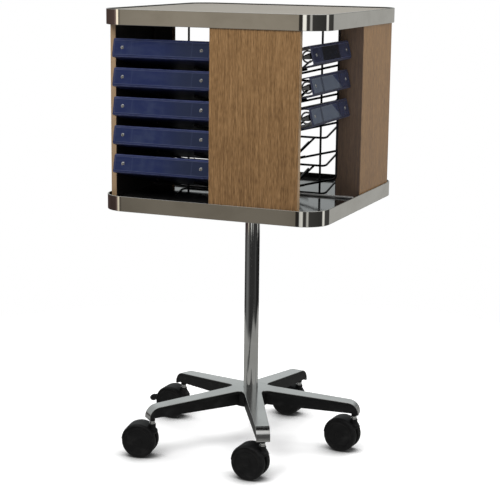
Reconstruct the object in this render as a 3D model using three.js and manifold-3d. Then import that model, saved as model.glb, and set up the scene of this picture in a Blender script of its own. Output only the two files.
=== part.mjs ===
// Rotating chart carousel on a five-arm caster base.
// Millimetres, +Z up. The origin is on the floor under the column, and the front face looks along -Y.

import * as THREE from 'three';
import { mergeVertices } from 'three/addons/utils/BufferGeometryUtils.js';
import Module from 'manifold-3d';

const wasm = await Module();
wasm.setup();

const GAP = 0.3;

// Drum: two square boards with polished edge bands, held apart by four L-shaped wood panels.
const DRUM_SIDE = 635;
const DRUM_HEIGHT = 535;
const DRUM_BASE = 714;
const CORNER_RADIUS = 69;
const BAND_HEIGHT = 41;
const BAND_WALL = 3;
const BOARD_THICKNESS = 24;
const BOARD_INSET = 3.5;
const PANEL_THICKNESS = 16;
const PANEL_FACE = 313;
const PANEL_START = 4;
const PANEL_END = 252.5;
const RETURN_END = 241;

// Wire racks: five sloping levels in each of the four compartments.
const WIRE = 6;
const LEVELS = 5;
const LEVEL_PITCH = 77.4;
const LOWEST_EDGE = 99;
const TILT = THREE.MathUtils.degToRad(14);
const BAY_MIDDLE = -149;
const SHELF_BACK = 25.8;
const SHELF_REACH = 190;
const SHELF_HALF_WIDTH = 55.5;
const SHELF_BEND = 12;
const FRAME_DEPTH = 19.5;
const UPRIGHT_OFFSET = 42;
const BRACE_HEAD = 26;
const LADDER_SIDE = 0.5;
const LADDER_INNER = 52;
const LADDER_OUTER = 245;
const LADDER_FOOT = 296;
const LADDER_DROP = 10;
const LADDER_BEND = 11;

// Ring binders that lie on the sloping wires, spine outwards.
const BINDER_LENGTH = 287;
const BINDER_DEPTH = 255;
const BINDER_THICKNESS = 51;
const BINDER_COVER = 3;
const BINDER_SPINE = 3.6;
const BINDER_ROUND = 6;
const BINDER_EDGE = 284;
const BINDERS = { front: [1, 2, 3, 4, 5], right: [1, 2, 3] };

// Column and turntable.
const COLUMN_RADIUS = 20.65;
const COLUMN_WALL = 2.2;
const COLUMN_FOOT = 161.8;
const COLUMN_TOP = 690;
const ROUND = 24;

// Five-arm base: a dark core under a polished cap that wraps over the arm ends.
const ARMS = 5;
const ARM_PHASE = -61;
const ARM_TIP = 317;
const ARM_ROOT_WIDTH = 50;
const ARM_TIP_WIDTH = 38;
const ARM_TIP_ROUND = 34;
const HUB_TOP = 167;
const HUB_RADIUS = 53;
const ARM_TIP_TOP = 146;
const ARM_TIP_FOOT = 111.5;
const CAP_WALL = 5.5;
const CAP_OVERHANG = 1.2;
const CORE_FOOT = 116.5;
const CORE_ROOT_FOOT = 127.5;
const COLLAR_FOOT = 106;
const COLLAR_RADIUS = 8.2;
const CORE_HUB_FOOT = 124;

// Twin-wheel casters.
const PIVOT_RADIUS = 302.5;
const CASTER_HEADINGS = [178, 176, 178, 178, 190];
const TRAIL = 35;
const WHEEL_RADIUS = 48;
const WHEEL_FACE = 28;
const WHEEL_INNER = 6.2;
const AXLE_RADIUS = 5.5;
const FENDER_INNER = 49.2;
const FENDER_OUTER = 51.6;
const FENDER_WIDTH = 57;
const WEB = 9;
const STEM_RADIUS = 5.5;
const STEM_TOP = 118;
const BOSS_TOP = 105.2;
const BRAKED_CASTER = 4;
const PEDAL_PIVOT = [TRAIL + FENDER_OUTER + 3.4, 53];

const FACES = ['front', 'right', 'rear', 'left'];
const HALF = DRUM_SIDE / 2;
const BOARD_TOP = DRUM_BASE + BOARD_INSET + BOARD_THICKNESS;
const CEILING = DRUM_BASE + DRUM_HEIGHT - BOARD_INSET - BOARD_THICKNESS;

const chrome = { color: 0xc9cbcc, roughness: 0.08, metalness: 1 };
const polished = { color: 0xb9bab6, roughness: 0.16, metalness: 1 };
const wood = { color: 0x8c6946, roughness: 0.55, metalness: 0 };
const laminate = { color: 0xb3b0a3, roughness: 0.35, metalness: 0 };
const glossy = { color: 0x6f716f, roughness: 0.12, metalness: 0.2 };
const blackWire = { color: 0x0d0d0d, roughness: 0.4, metalness: 0.3 };
const navy = { color: 0x232a4d, roughness: 0.38, metalness: 0 };
const blackMoulding = { color: 0x121212, roughness: 0.5, metalness: 0 };
const tyre = { color: 0x161616, roughness: 0.6, metalness: 0 };
const zinc = { color: 0x8d8f90, roughness: 0.4, metalness: 1 };

/** A named mesh with its own standard material. */
function piece(name, geometry, look) {
  const mesh = new THREE.Mesh(geometry, new THREE.MeshStandardMaterial(look));
  mesh.name = name;
  return mesh;
}

/** A closed geometry as a solid that can be joined and cut. */
function solid(geometry) {
  const bare = new THREE.BufferGeometry();
  bare.setAttribute('position', geometry.getAttribute('position'));
  if (geometry.index) {
    bare.setIndex(geometry.index);
  }
  const merged = mergeVertices(bare, 1e-4);
  return new wasm.Manifold(new wasm.Mesh({
    numProp: 3,
    vertProperties: new Float32Array(merged.attributes.position.array),
    triVerts: new Uint32Array(merged.index.array),
  }));
}

/** The surface of a solid as a geometry. */
function surface(body) {
  const mesh = body.getMesh();
  const geometry = new THREE.BufferGeometry();
  geometry.setAttribute('position', new THREE.BufferAttribute(mesh.vertProperties, 3));
  geometry.setIndex(new THREE.BufferAttribute(mesh.triVerts, 1));
  geometry.computeVertexNormals();
  return geometry;
}

/** One geometry made of overlapping closed ones, less the closed ones to cut away. */
function fuse(geometries, cuts = []) {
  const joined = geometries.map(solid).reduce((sum, next) => sum.add(next));
  return surface(cuts.map(solid).reduce((rest, cut) => rest.subtract(cut), joined));
}

/** A profile of [radius, height] points turned about the Z axis. */
function turned(profile, segments = ROUND) {
  const points = profile.map(([radius, height]) => new THREE.Vector2(radius, height));
  return new THREE.LatheGeometry(points, segments).rotateX(Math.PI / 2);
}

/** A round bar along Z. */
function bar(radius, from, to, segments = ROUND) {
  return new THREE.CylinderGeometry(radius, radius, to - from, segments)
    .rotateX(Math.PI / 2)
    .translate(0, 0, (from + to) / 2);
}

/** A round bar on the axle line of a caster. */
function crossBar(radius, length, segments = ROUND) {
  return new THREE.CylinderGeometry(radius, radius, length, segments).translate(TRAIL, 0, WHEEL_RADIUS);
}

/** A side profile in the X-Z plane, given depth across Y and centred on it. */
function slab(shape, width, curveSegments = 8) {
  return new THREE.ExtrudeGeometry(shape, { depth: width, bevelEnabled: false, curveSegments })
    .translate(0, 0, -width / 2)
    .rotateX(Math.PI / 2);
}

/** A square outline with round corners, centred on the axis. */
function roundedSquare(side, radius, Outline = THREE.Shape) {
  const flat = side / 2 - radius;
  const outline = new Outline();
  outline.absarc(flat, flat, radius, 0, Math.PI / 2, false);
  outline.absarc(-flat, flat, radius, Math.PI / 2, Math.PI, false);
  outline.absarc(-flat, -flat, radius, Math.PI, Math.PI * 1.5, false);
  outline.absarc(flat, -flat, radius, Math.PI * 1.5, Math.PI * 2, false);
  return outline;
}

/** A wire's centre line: straight runs with a round bend at each corner. */
class BentWire extends THREE.Curve {
  constructor(corners, radius = 0, steps = 2) {
    super();
    this.stations = [];
    corners.forEach((corner, i) => {
      const before = corners[i - 1];
      const after = corners[i + 1];
      if (!before || !after) {
        const along = after ? after.clone().sub(corner) : corner.clone().sub(before);
        this.stations.push({ point: corner.clone(), tangent: along.normalize() });
        return;
      }
      const arriving = corner.clone().sub(before).normalize();
      const leaving = after.clone().sub(corner).normalize();
      const turn = arriving.angleTo(leaving);
      const setback = radius * Math.tan(turn / 2);
      const start = corner.clone().addScaledVector(arriving, -setback);
      const side = leaving.clone().addScaledVector(arriving, -Math.cos(turn)).normalize();
      for (let step = 0; step <= steps; step += 1) {
        const angle = turn * step / steps;
        const point = start.clone()
          .addScaledVector(arriving, radius * Math.sin(angle))
          .addScaledVector(side, radius * (1 - Math.cos(angle)));
        const tangent = arriving.clone().multiplyScalar(Math.cos(angle)).addScaledVector(side, Math.sin(angle));
        this.stations.push({ point, tangent: tangent.normalize() });
      }
    });
  }

  station(share) {
    return this.stations[Math.round(share * (this.stations.length - 1))];
  }

  getPointAt(share) {
    return this.station(share).point.clone();
  }

  getTangentAt(share) {
    return this.station(share).tangent.clone();
  }
}

/** A round wire through the given corners. */
function wire(corners, radius = 0) {
  const path = new BentWire(corners, radius);
  const section = new THREE.Shape();
  const sides = 6;
  for (let i = 0; i < sides; i += 1) {
    const angle = 2 * Math.PI * i / sides;
    const point = [WIRE / 2 * Math.cos(angle), WIRE / 2 * Math.sin(angle)];
    if (i === 0) {
      section.moveTo(...point);
    } else {
      section.lineTo(...point);
    }
  }
  const steps = path.stations.length - 1;
  return new THREE.ExtrudeGeometry(section, { steps, extrudePath: path });
}

/** A point of the front compartment: out from the centre, to the right along the face, and up. */
function bay(out, along, up) {
  return new THREE.Vector3(along, -out, up);
}

/** Height of the sloping plane that a binder of this level lies on. */
function restingHeight(level, out) {
  const edge = DRUM_BASE + LOWEST_EDGE + (LEVELS - level) * LEVEL_PITCH;
  return edge - (BINDER_EDGE - out) * Math.tan(TILT);
}

/** Polished strip around a board's edge. */
function edgeBand() {
  const outline = roundedSquare(DRUM_SIDE, CORNER_RADIUS);
  outline.holes.push(roundedSquare(DRUM_SIDE - 2 * BAND_WALL, CORNER_RADIUS - BAND_WALL, THREE.Path));
  return new THREE.ExtrudeGeometry(outline, { depth: BAND_HEIGHT, bevelEnabled: false, curveSegments: 8 });
}

/** Square board that fills its edge band. */
function board() {
  const inset = BAND_WALL + GAP;
  const outline = roundedSquare(DRUM_SIDE - 2 * inset, CORNER_RADIUS - inset);
  return new THREE.ExtrudeGeometry(outline, { depth: BOARD_THICKNESS, bevelEnabled: false, curveSegments: 8 });
}

/** Face panel with a return that runs in from its opening side, in plan, with eased corners. */
function panel() {
  const plan = [
    [PANEL_START, PANEL_FACE],
    [PANEL_START, RETURN_END],
    [PANEL_START + PANEL_THICKNESS, RETURN_END],
    [PANEL_START + PANEL_THICKNESS, PANEL_FACE - PANEL_THICKNESS],
    [PANEL_END, PANEL_FACE - PANEL_THICKNESS],
    [PANEL_END, PANEL_FACE],
  ].map(([along, out]) => new THREE.Vector2(along, -out));
  const ease = 1.5;
  const outline = new THREE.Shape();
  plan.forEach((corner, i) => {
    const before = plan[(i + plan.length - 1) % plan.length];
    const after = plan[(i + 1) % plan.length];
    const start = corner.clone().addScaledVector(before.clone().sub(corner).normalize(), ease);
    const end = corner.clone().addScaledVector(after.clone().sub(corner).normalize(), ease);
    if (i === 0) {
      outline.moveTo(start.x, start.y);
    } else {
      outline.lineTo(start.x, start.y);
    }
    outline.quadraticCurveTo(corner.x, corner.y, end.x, end.y);
  });
  outline.closePath();
  const depth = CEILING - BOARD_TOP - 2 * GAP;
  return new THREE.ExtrudeGeometry(outline, { depth, bevelEnabled: false, curveSegments: 2 })
    .translate(0, 0, BOARD_TOP + GAP);
}

/** U-shaped shelf wire that lies in the sloping plane of its level. */
function shelf(level) {
  const drop = (WIRE / 2 + GAP) / Math.cos(TILT);
  const at = (out, along) => bay(out, along, restingHeight(level, out) - drop);
  const left = BAY_MIDDLE - SHELF_HALF_WIDTH;
  const right = BAY_MIDDLE + SHELF_HALF_WIDTH;
  const corners = [
    at(SHELF_REACH, left),
    at(SHELF_BACK, left),
    at(SHELF_BACK, right),
    at(SHELF_REACH, right),
  ];
  return wire(corners, SHELF_BEND);
}

/** Hoop with two uprights behind the shelves, and a diagonal brace from each level to the next. */
function rackFrame() {
  const foot = BOARD_TOP + GAP;
  const head = CEILING - GAP - WIRE / 2;
  const left = BAY_MIDDLE - UPRIGHT_OFFSET;
  const right = BAY_MIDDLE + UPRIGHT_OFFSET;
  const wires = [wire([
    bay(FRAME_DEPTH, left, foot),
    bay(FRAME_DEPTH, left, head),
    bay(FRAME_DEPTH, right, head),
    bay(FRAME_DEPTH, right, foot),
  ], SHELF_BEND)];
  for (let level = 1; level < LEVELS; level += 1) {
    const top = restingHeight(level, FRAME_DEPTH);
    wires.push(wire([
      bay(FRAME_DEPTH, BAY_MIDDLE - BRACE_HEAD, top),
      bay(FRAME_DEPTH, BAY_MIDDLE - BRACE_HEAD + LEVEL_PITCH, top - LEVEL_PITCH),
    ]));
  }
  return fuse(wires);
}

/** Side ladder beside the panel's return: sloping guide wires between two uprights. */
function ladder() {
  const foot = BOARD_TOP + GAP;
  const head = CEILING - GAP;
  const rail = (level, out) => bay(out, LADDER_SIDE, restingHeight(level, out) - LADDER_DROP);
  const wires = [
    wire([bay(LADDER_INNER, LADDER_SIDE, foot), bay(LADDER_INNER, LADDER_SIDE, head)]),
    wire([
      bay(LADDER_OUTER, LADDER_SIDE, head),
      rail(LEVELS, LADDER_OUTER),
      rail(LEVELS, LADDER_INNER),
    ], LADDER_BEND),
    wire([
      bay(LADDER_INNER, LADDER_SIDE, foot + WIRE / 2),
      bay(LADDER_FOOT, LADDER_SIDE, foot + WIRE / 2),
    ]),
  ];
  for (let level = 1; level < LEVELS; level += 1) {
    wires.push(wire([rail(level, LADDER_INNER), rail(level, LADDER_OUTER)]));
  }
  return fuse(wires);
}

/** Binder cover: two stiff boards and a spine with round edges, open on three sides. */
function binder(level) {
  const outline = new THREE.Shape();
  const top = BINDER_THICKNESS;
  outline.moveTo(BINDER_DEPTH, 0);
  outline.lineTo(BINDER_DEPTH, BINDER_COVER);
  outline.lineTo(BINDER_SPINE + BINDER_COVER, BINDER_COVER);
  outline.lineTo(BINDER_SPINE, BINDER_COVER * 2);
  outline.lineTo(BINDER_SPINE, top - BINDER_COVER * 2);
  outline.lineTo(BINDER_SPINE + BINDER_COVER, top - BINDER_COVER);
  outline.lineTo(BINDER_DEPTH, top - BINDER_COVER);
  outline.lineTo(BINDER_DEPTH, top);
  outline.lineTo(BINDER_ROUND, top);
  outline.absarc(BINDER_ROUND, top - BINDER_ROUND, BINDER_ROUND, Math.PI / 2, Math.PI, false);
  outline.absarc(BINDER_ROUND, BINDER_ROUND, BINDER_ROUND, Math.PI, Math.PI * 1.5, false);
  outline.closePath();
  const inwards = new THREE.Vector3(0, Math.cos(TILT), -Math.sin(TILT));
  const upwards = new THREE.Vector3(0, Math.sin(TILT), Math.cos(TILT));
  const place = new THREE.Matrix4()
    .makeBasis(inwards, upwards, new THREE.Vector3(1, 0, 0))
    .setPosition(bay(BINDER_EDGE, BAY_MIDDLE - BINDER_LENGTH / 2, restingHeight(level, BINDER_EDGE)));
  return new THREE.ExtrudeGeometry(outline, { depth: BINDER_LENGTH, bevelEnabled: false, curveSegments: 3 })
    .applyMatrix4(place);
}

/** Column head: a socket for the tube, a round plate and the lower race of the turntable. */
function columnHead() {
  const bore = COLUMN_RADIUS + 0.4;
  const plate = COLUMN_TOP + 9;
  const race = DRUM_BASE - 6.4;
  return turned([
    [0, COLUMN_TOP + GAP],
    [bore, COLUMN_TOP + GAP],
    [bore, COLUMN_TOP - 24],
    [27, COLUMN_TOP - 24],
    [29, COLUMN_TOP - 4],
    [80, COLUMN_TOP + 2],
    [80, plate],
    [72, plate],
    [72, race],
    [52, race],
    [52, plate],
    [0, plate],
  ]);
}

/** Upper turntable plate under the bottom board, with its race around the column head. */
function turntablePlate() {
  const top = DRUM_BASE + BOARD_INSET - GAP;
  return turned([
    [0, DRUM_BASE - 6],
    [92, DRUM_BASE - 6],
    [95, DRUM_BASE - 4],
    [95, top],
    [0, top],
  ]);
}

/** Gives an arm's side profile its tapering width. */
function tapered(shape, rootWidth, tipWidth) {
  const geometry = slab(shape, 1, 6);
  const position = geometry.getAttribute('position');
  for (let i = 0; i < position.count; i += 1) {
    const share = THREE.MathUtils.clamp((position.getX(i) - HUB_RADIUS) / (ARM_TIP - HUB_RADIUS), 0, 1);
    position.setY(i, position.getY(i) * THREE.MathUtils.lerp(rootWidth, tipWidth, share));
  }
  return geometry;
}

/** One geometry on each arm's heading. */
function onEachArm(geometry) {
  return Array.from({ length: ARMS }, (_, i) => {
    const heading = THREE.MathUtils.degToRad(ARM_PHASE + i * 360 / ARMS);
    return geometry.clone().rotateZ(heading);
  });
}

/** Outer line of an arm in side view, offset inwards, from the hub down to a level at the tip. */
function armTopLine(outline, inset, foot) {
  const bend = ARM_TIP - ARM_TIP_ROUND;
  outline.moveTo(0, HUB_TOP - inset);
  outline.lineTo(HUB_RADIUS, HUB_TOP - inset);
  outline.lineTo(bend, ARM_TIP_TOP - inset);
  const radius = ARM_TIP_ROUND - inset;
  const centre = ARM_TIP_TOP - ARM_TIP_ROUND;
  const end = Math.asin(Math.max(0, foot - centre) / radius);
  outline.absarc(bend, centre, radius, Math.PI / 2, end, true);
}

/** Polished cap over the hub and the arms. */
function baseCap() {
  const bend = ARM_TIP - ARM_TIP_ROUND;
  const outline = new THREE.Shape();
  armTopLine(outline, 0, ARM_TIP_FOOT);
  outline.lineTo(ARM_TIP, ARM_TIP_FOOT);
  outline.lineTo(ARM_TIP - CAP_WALL, ARM_TIP_FOOT);
  outline.absarc(bend, ARM_TIP_TOP - ARM_TIP_ROUND, ARM_TIP_ROUND - CAP_WALL, 0, Math.PI / 2, false);
  outline.lineTo(HUB_RADIUS, HUB_TOP - CAP_WALL);
  outline.lineTo(0, HUB_TOP - CAP_WALL);
  outline.closePath();
  const arm = tapered(outline, ARM_ROOT_WIDTH, ARM_TIP_WIDTH);
  const hub = bar(HUB_RADIUS, HUB_TOP - CAP_WALL, HUB_TOP);
  const hole = bar(COLUMN_RADIUS + 0.4, HUB_TOP - 20, HUB_TOP + 20);
  return fuse([hub, ...onEachArm(arm)], [hole]);
}

/** Dark core of the base: hub and arms under the cap, with a collar and socket for each stem. */
function baseCore() {
  const inset = CAP_WALL + GAP;
  const outline = new THREE.Shape();
  armTopLine(outline, inset, CORE_FOOT);
  outline.lineTo(HUB_RADIUS, CORE_ROOT_FOOT);
  outline.lineTo(0, CORE_ROOT_FOOT);
  outline.closePath();
  const arm = tapered(outline, ARM_ROOT_WIDTH - 2 * CAP_OVERHANG, ARM_TIP_WIDTH - 2 * CAP_OVERHANG);
  const hub = bar(HUB_RADIUS - CAP_OVERHANG, CORE_HUB_FOOT, HUB_TOP - inset);
  const collar = bar(COLLAR_RADIUS, COLLAR_FOOT, CORE_FOOT + 1, 12).translate(PIVOT_RADIUS, 0, 0);
  const socket = bar(STEM_RADIUS + 0.6, COLLAR_FOOT - 10, STEM_TOP + 2, 12).translate(PIVOT_RADIUS, 0, 0);
  return fuse([hub, ...onEachArm(arm), ...onEachArm(collar)], onEachArm(socket));
}

/** Caster housing: stem, web between the wheels and a fender over them, heading along +X. */
function casterHousing(braked) {
  const from = THREE.MathUtils.degToRad(12);
  const to = THREE.MathUtils.degToRad(150);
  const fender = new THREE.Shape();
  fender.absarc(TRAIL, WHEEL_RADIUS, FENDER_OUTER, from, to, false);
  fender.absarc(TRAIL, WHEEL_RADIUS, FENDER_INNER, to, from, true);
  fender.closePath();
  const web = new THREE.Shape();
  web.absarc(TRAIL, WHEEL_RADIUS, FENDER_OUTER - 1, from, to, false);
  web.lineTo(TRAIL, WHEEL_RADIUS);
  web.closePath();
  const eye = new THREE.Shape();
  eye.absarc(TRAIL, WHEEL_RADIUS, 14, 0, Math.PI * 2, false);
  const wheelSpace = crossBar(FENDER_INNER, FENDER_WIDTH);
  const boss = fuse([bar(10, WHEEL_RADIUS + 28, BOSS_TOP, 12)], [wheelSpace]);
  const bodies = [
    slab(fender, FENDER_WIDTH, 10),
    slab(web, WEB, 10),
    slab(eye, WEB, 8),
    boss,
    bar(STEM_RADIUS, 100, STEM_TOP, 12),
  ];
  if (braked) {
    for (const side of [-12, 12]) {
      const ear = new THREE.Shape();
      ear.absarc(...PEDAL_PIVOT, 4, -Math.PI * 0.9, Math.PI * 0.2, false);
      ear.lineTo(TRAIL + FENDER_OUTER - 2, WHEEL_RADIUS + 19);
      ear.lineTo(TRAIL + FENDER_INNER - 1.5, WHEEL_RADIUS + 13);
      ear.closePath();
      bodies.push(slab(ear, 4, 4).translate(0, side, 0));
    }
  }
  return fuse(bodies, [crossBar(AXLE_RADIUS + 0.7, FENDER_WIDTH, 12)]);
}

/** Pair of wheels on one axle, with dished faces and round tread edges. */
function wheelPair() {
  const half = [
    [0, -WHEEL_FACE + 1],
    [13, -WHEEL_FACE + 1],
    [15, -WHEEL_FACE + 3],
    [38, -WHEEL_FACE + 2],
    [42, -WHEEL_FACE],
    [WHEEL_RADIUS, -WHEEL_FACE + 5],
    [WHEEL_RADIUS, -WHEEL_INNER],
    [AXLE_RADIUS, -WHEEL_INNER],
  ];
  const mirrored = half.map(([radius, across]) => [radius, -across]).reverse();
  const points = [...half, ...mirrored].map(([radius, across]) => new THREE.Vector2(radius, across));
  return new THREE.LatheGeometry(points, 16).translate(TRAIL, 0, WHEEL_RADIUS);
}

/** Brake pedal that hangs between the ears of its caster's fender. */
function brakePedal() {
  const [out, up] = PEDAL_PIVOT;
  const outline = new THREE.Shape();
  outline.absarc(out, up, 3.6, Math.PI * 0.5, Math.PI * 1.4, false);
  outline.lineTo(out + 9, up - 9);
  outline.absarc(out + 15, up - 3, 7, -Math.PI / 2, Math.PI / 2, false);
  outline.closePath();
  return slab(outline, 19, 5);
}

const carousel = new THREE.Group();
const upperBase = DRUM_BASE + DRUM_HEIGHT - BAND_HEIGHT;
const bottomBand = piece('bottom_band', edgeBand(), polished);
bottomBand.position.z = DRUM_BASE;
const topBand = piece('top_band', edgeBand(), polished);
topBand.position.z = upperBase;
const bottomBoard = piece('bottom_board', board(), glossy);
bottomBoard.position.z = DRUM_BASE + BOARD_INSET;
const topBoard = piece('top_board', board(), laminate);
topBoard.position.z = CEILING;
carousel.add(bottomBand, topBand, bottomBoard, topBoard);
carousel.add(piece('turntable_plate', turntablePlate(), zinc));

FACES.forEach((face, quarter) => {
  const compartment = new THREE.Group();
  compartment.rotation.z = quarter * Math.PI / 2;
  compartment.add(piece(`panel_${face}`, panel(), wood));
  compartment.add(piece(`rack_frame_${face}`, rackFrame(), blackWire));
  compartment.add(piece(`rack_ladder_${face}`, ladder(), blackWire));
  for (let level = 1; level <= LEVELS; level += 1) {
    compartment.add(piece(`shelf_${face}_${level}`, shelf(level), blackWire));
  }
  for (const level of BINDERS[face] ?? []) {
    compartment.add(piece(`binder_${face}_${level}`, binder(level), navy));
  }
  carousel.add(compartment);
});

const stand = new THREE.Group();
const tube = turned([
  [COLUMN_RADIUS - COLUMN_WALL, COLUMN_FOOT],
  [COLUMN_RADIUS, COLUMN_FOOT],
  [COLUMN_RADIUS, COLUMN_TOP],
  [COLUMN_RADIUS - COLUMN_WALL, COLUMN_TOP],
  [COLUMN_RADIUS - COLUMN_WALL, COLUMN_FOOT],
]);
stand.add(piece('column', tube, chrome));
stand.add(piece('column_head', columnHead(), zinc));
stand.add(piece('base_cap', baseCap(), polished));
stand.add(piece('base_core', baseCore(), blackMoulding));

for (let i = 1; i <= ARMS; i += 1) {
  const heading = THREE.MathUtils.degToRad(ARM_PHASE + (i - 1) * 360 / ARMS);
  const braked = i === BRAKED_CASTER;
  const caster = new THREE.Group();
  caster.position.set(PIVOT_RADIUS * Math.cos(heading), PIVOT_RADIUS * Math.sin(heading), 0);
  caster.rotation.z = THREE.MathUtils.degToRad(CASTER_HEADINGS[i - 1]);
  caster.add(piece(`caster_housing_${i}`, casterHousing(braked), blackMoulding));
  caster.add(piece(`caster_wheels_${i}`, wheelPair(), tyre));
  if (braked) {
    caster.add(piece('brake_pedal', brakePedal(), blackMoulding));
  }
  stand.add(caster);
}

const chartRack = new THREE.Group();
chartRack.add(stand, carousel);

export default chartRack;
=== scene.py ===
"""Rotating chart carousel on a caster base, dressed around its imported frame.

Sizes are millimetres and become metres when a mesh is written. The floor is at zero, +Z is up
and the front face looks along -Y.
"""

from __future__ import annotations

import logging
import math
from dataclasses import dataclass
from enum import Enum
from functools import cache, cached_property
from typing import Any, Callable, Sequence

import bmesh
import bpy
import numpy as np
from mathutils import Matrix


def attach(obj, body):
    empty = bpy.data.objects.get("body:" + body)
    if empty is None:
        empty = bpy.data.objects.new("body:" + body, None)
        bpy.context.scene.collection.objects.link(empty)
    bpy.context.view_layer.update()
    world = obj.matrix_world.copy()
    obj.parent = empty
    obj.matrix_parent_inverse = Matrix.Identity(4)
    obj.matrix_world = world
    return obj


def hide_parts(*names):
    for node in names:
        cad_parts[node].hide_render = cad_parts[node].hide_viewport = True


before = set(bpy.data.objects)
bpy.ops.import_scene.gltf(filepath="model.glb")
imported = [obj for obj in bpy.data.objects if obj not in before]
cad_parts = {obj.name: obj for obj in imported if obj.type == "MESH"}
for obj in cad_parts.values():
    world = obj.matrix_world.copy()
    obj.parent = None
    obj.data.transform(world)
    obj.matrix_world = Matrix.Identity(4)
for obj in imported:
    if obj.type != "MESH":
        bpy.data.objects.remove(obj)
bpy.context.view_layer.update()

MM = 0.001
AXIS = 0.01  # radius of a turned profile's end on its axis
MERGE = 2e-6  # metres within which points become one
SLIVER = 1e-7  # metres below which an edge is dissolved
Array = np.ndarray
Colour = tuple[float, float, float, float]
Point = tuple[float, float, float]
Profile = Sequence[tuple[float, float]]
Stops = Sequence[tuple[float, Colour]]
Corners = Sequence[Sequence[float]]
Socket = bpy.types.NodeSocket
Inputs = dict[int | str, Any]

log = logging.getLogger("chart_carousel")


class Face(Enum):
    """The four sides of the drum, numbered by quarter turns from the front."""

    FRONT = 0
    RIGHT = 1
    REAR = 2
    LEFT = 3

    @property
    def label(self) -> str:
        """The side's name in the frame."""
        return self.name.lower()

    @property
    def place(self) -> Place:
        """The turn that brings the front side's shapes to this side."""
        return Place.turned(90 * self.value)


# Shader graphs


def math_method(operation: str, swapped: bool = False) -> Callable[..., Signal]:
    """Makes a method of a signal that adds a Math node.

    Args:
        operation: the node's operation.
        swapped: whether the signal is the last term instead of the first.

    Returns:
        The method, which takes the other term if there is one.
    """

    def method(self: Signal, *other: Signal | float) -> Signal:
        """One Math node as a signal."""
        return self.graph.math(operation, *((*other, self) if swapped else (self, *other)))

    return method


class Signal:
    """A number in a shader graph; an expression on signals adds Math nodes."""

    __add__ = __radd__ = math_method("ADD")
    __sub__ = math_method("SUBTRACT")
    __rsub__ = math_method("SUBTRACT", swapped=True)
    __mul__ = __rmul__ = math_method("MULTIPLY")
    __truediv__ = math_method("DIVIDE")
    __pow__ = math_method("POWER")
    __abs__ = math_method("ABSOLUTE")
    sine = math_method("SINE")
    least = math_method("MINIMUM")
    most = math_method("MAXIMUM")

    def __init__(self, graph: Graph, socket: Socket) -> None:
        """Wraps a socket of a graph."""
        self.graph = graph
        self.socket = socket

    def rise(self, low: float, high: float) -> Signal:
        """A smooth step from 0 at low to 1 at high."""
        inputs = {0: self, 1: low, 2: high, 3: 0.0, 4: 1.0}
        return self.graph.signal("MapRange", inputs, interpolation_type="SMOOTHSTEP")


class Graph:
    """Adds and links the nodes of one material or world."""

    def __init__(self, tree: bpy.types.NodeTree) -> None:
        """Starts from an empty tree."""
        self.tree = tree
        tree.nodes.clear()

    def add(self, kind: str, inputs: Inputs | None = None, **settings: Any) -> bpy.types.Node:
        """Adds a node.

        Args:
            kind: the node's type without its first word.
            inputs: a value or a link for each named or numbered socket.
            settings: its options, set first.

        Returns:
            The node.
        """
        node = self.tree.nodes.new(f"ShaderNode{kind}")
        for name, value in settings.items():
            setattr(node, name, value)
        for name, value in (inputs or {}).items():
            if isinstance(value, Signal):
                value = value.socket
            if isinstance(value, Socket):
                self.tree.links.new(value, node.inputs[name])
            else:
                node.inputs[name].default_value = value
        return node

    def out(self, kind: str, inputs: Inputs | None = None, **settings: Any) -> Socket:
        """The first output of a new node."""
        return self.add(kind, inputs, **settings).outputs[0]

    def signal(self, kind: str, inputs: Inputs | None = None, **settings: Any) -> Signal:
        """The first output of a new node as a number."""
        return Signal(self, self.out(kind, inputs, **settings))

    def math(self, operation: str, *terms: Signal | float) -> Signal:
        """One Math node as a signal."""
        return self.signal("Math", dict(enumerate(terms)), operation=operation)

    @cached_property
    def place(self) -> Socket:
        """The point on the piece, in metres."""
        return self.add("TexCoord").outputs["Object"]

    def lie(self) -> tuple[Signal, Signal, Signal]:
        """The three numbers that a surface carries at each point."""
        return self.split(self.add("Attribute", attribute_name="lie").outputs["Vector"])

    def split(self, vector: Socket) -> tuple[Signal, Signal, Signal]:
        """A vector's three parts."""
        x, y, z = self.add("SeparateXYZ", {0: vector}).outputs
        return Signal(self, x), Signal(self, y), Signal(self, z)

    def noise(
        self, cells: float | Sequence[float], detail: float = 2.0, distortion: float = 0.0,
    ) -> Signal:
        """Cloudy noise.

        Args:
            cells: cells in a metre, the same for all axes or one number for each.
            detail: octaves of finer noise.
            distortion: how far it is bent by itself.

        Returns:
            A number around 0.5.
        """
        factors = tuple(float(n) for n in np.broadcast_to(cells, 3))
        stretched = self.out("VectorMath", {0: self.place, 1: factors}, operation="MULTIPLY")
        inputs = {"Vector": stretched, "Scale": 1.0, "Detail": detail, "Distortion": distortion}
        return self.signal("TexNoise", inputs)

    def mix(self, share: Signal, first: Any, second: Any) -> Socket:
        """One colour blended into another by a share."""
        return self.add("Mix", {0: share, 6: first, 7: second}, data_type="RGBA").outputs[2]

    def ramp(self, value: Signal, stops: Stops) -> Socket:
        """A value turned into a colour.

        Args:
            value: the value, from 0 to 1.
            stops: values and their colours, in rising order.

        Returns:
            The colour.
        """
        node = self.add("ValToRGB", {0: value})
        elements = node.color_ramp.elements
        while len(elements) < len(stops):
            elements.new(0.5)
        for element, (position, colour) in zip(elements, stops):
            element.position = position
            element.color = colour
        return node.outputs[0]

    def bump(self, height: Signal, strength: float, distance: float, **under: Socket) -> Socket:
        """A normal that follows a height, on top of another normal if one is given."""
        inputs = {"Strength": strength, "Distance": distance, "Height": height}
        return self.out("Bump", inputs | under)

    def blend(self, share: Signal, first: Socket, second: Socket) -> Socket:
        """One shader blended into another by a share."""
        return self.out("MixShader", {0: share, 1: first, 2: second})


# Finishes


def grey(level: float) -> Colour:
    """A neutral colour."""
    return level, level, level, 1


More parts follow.
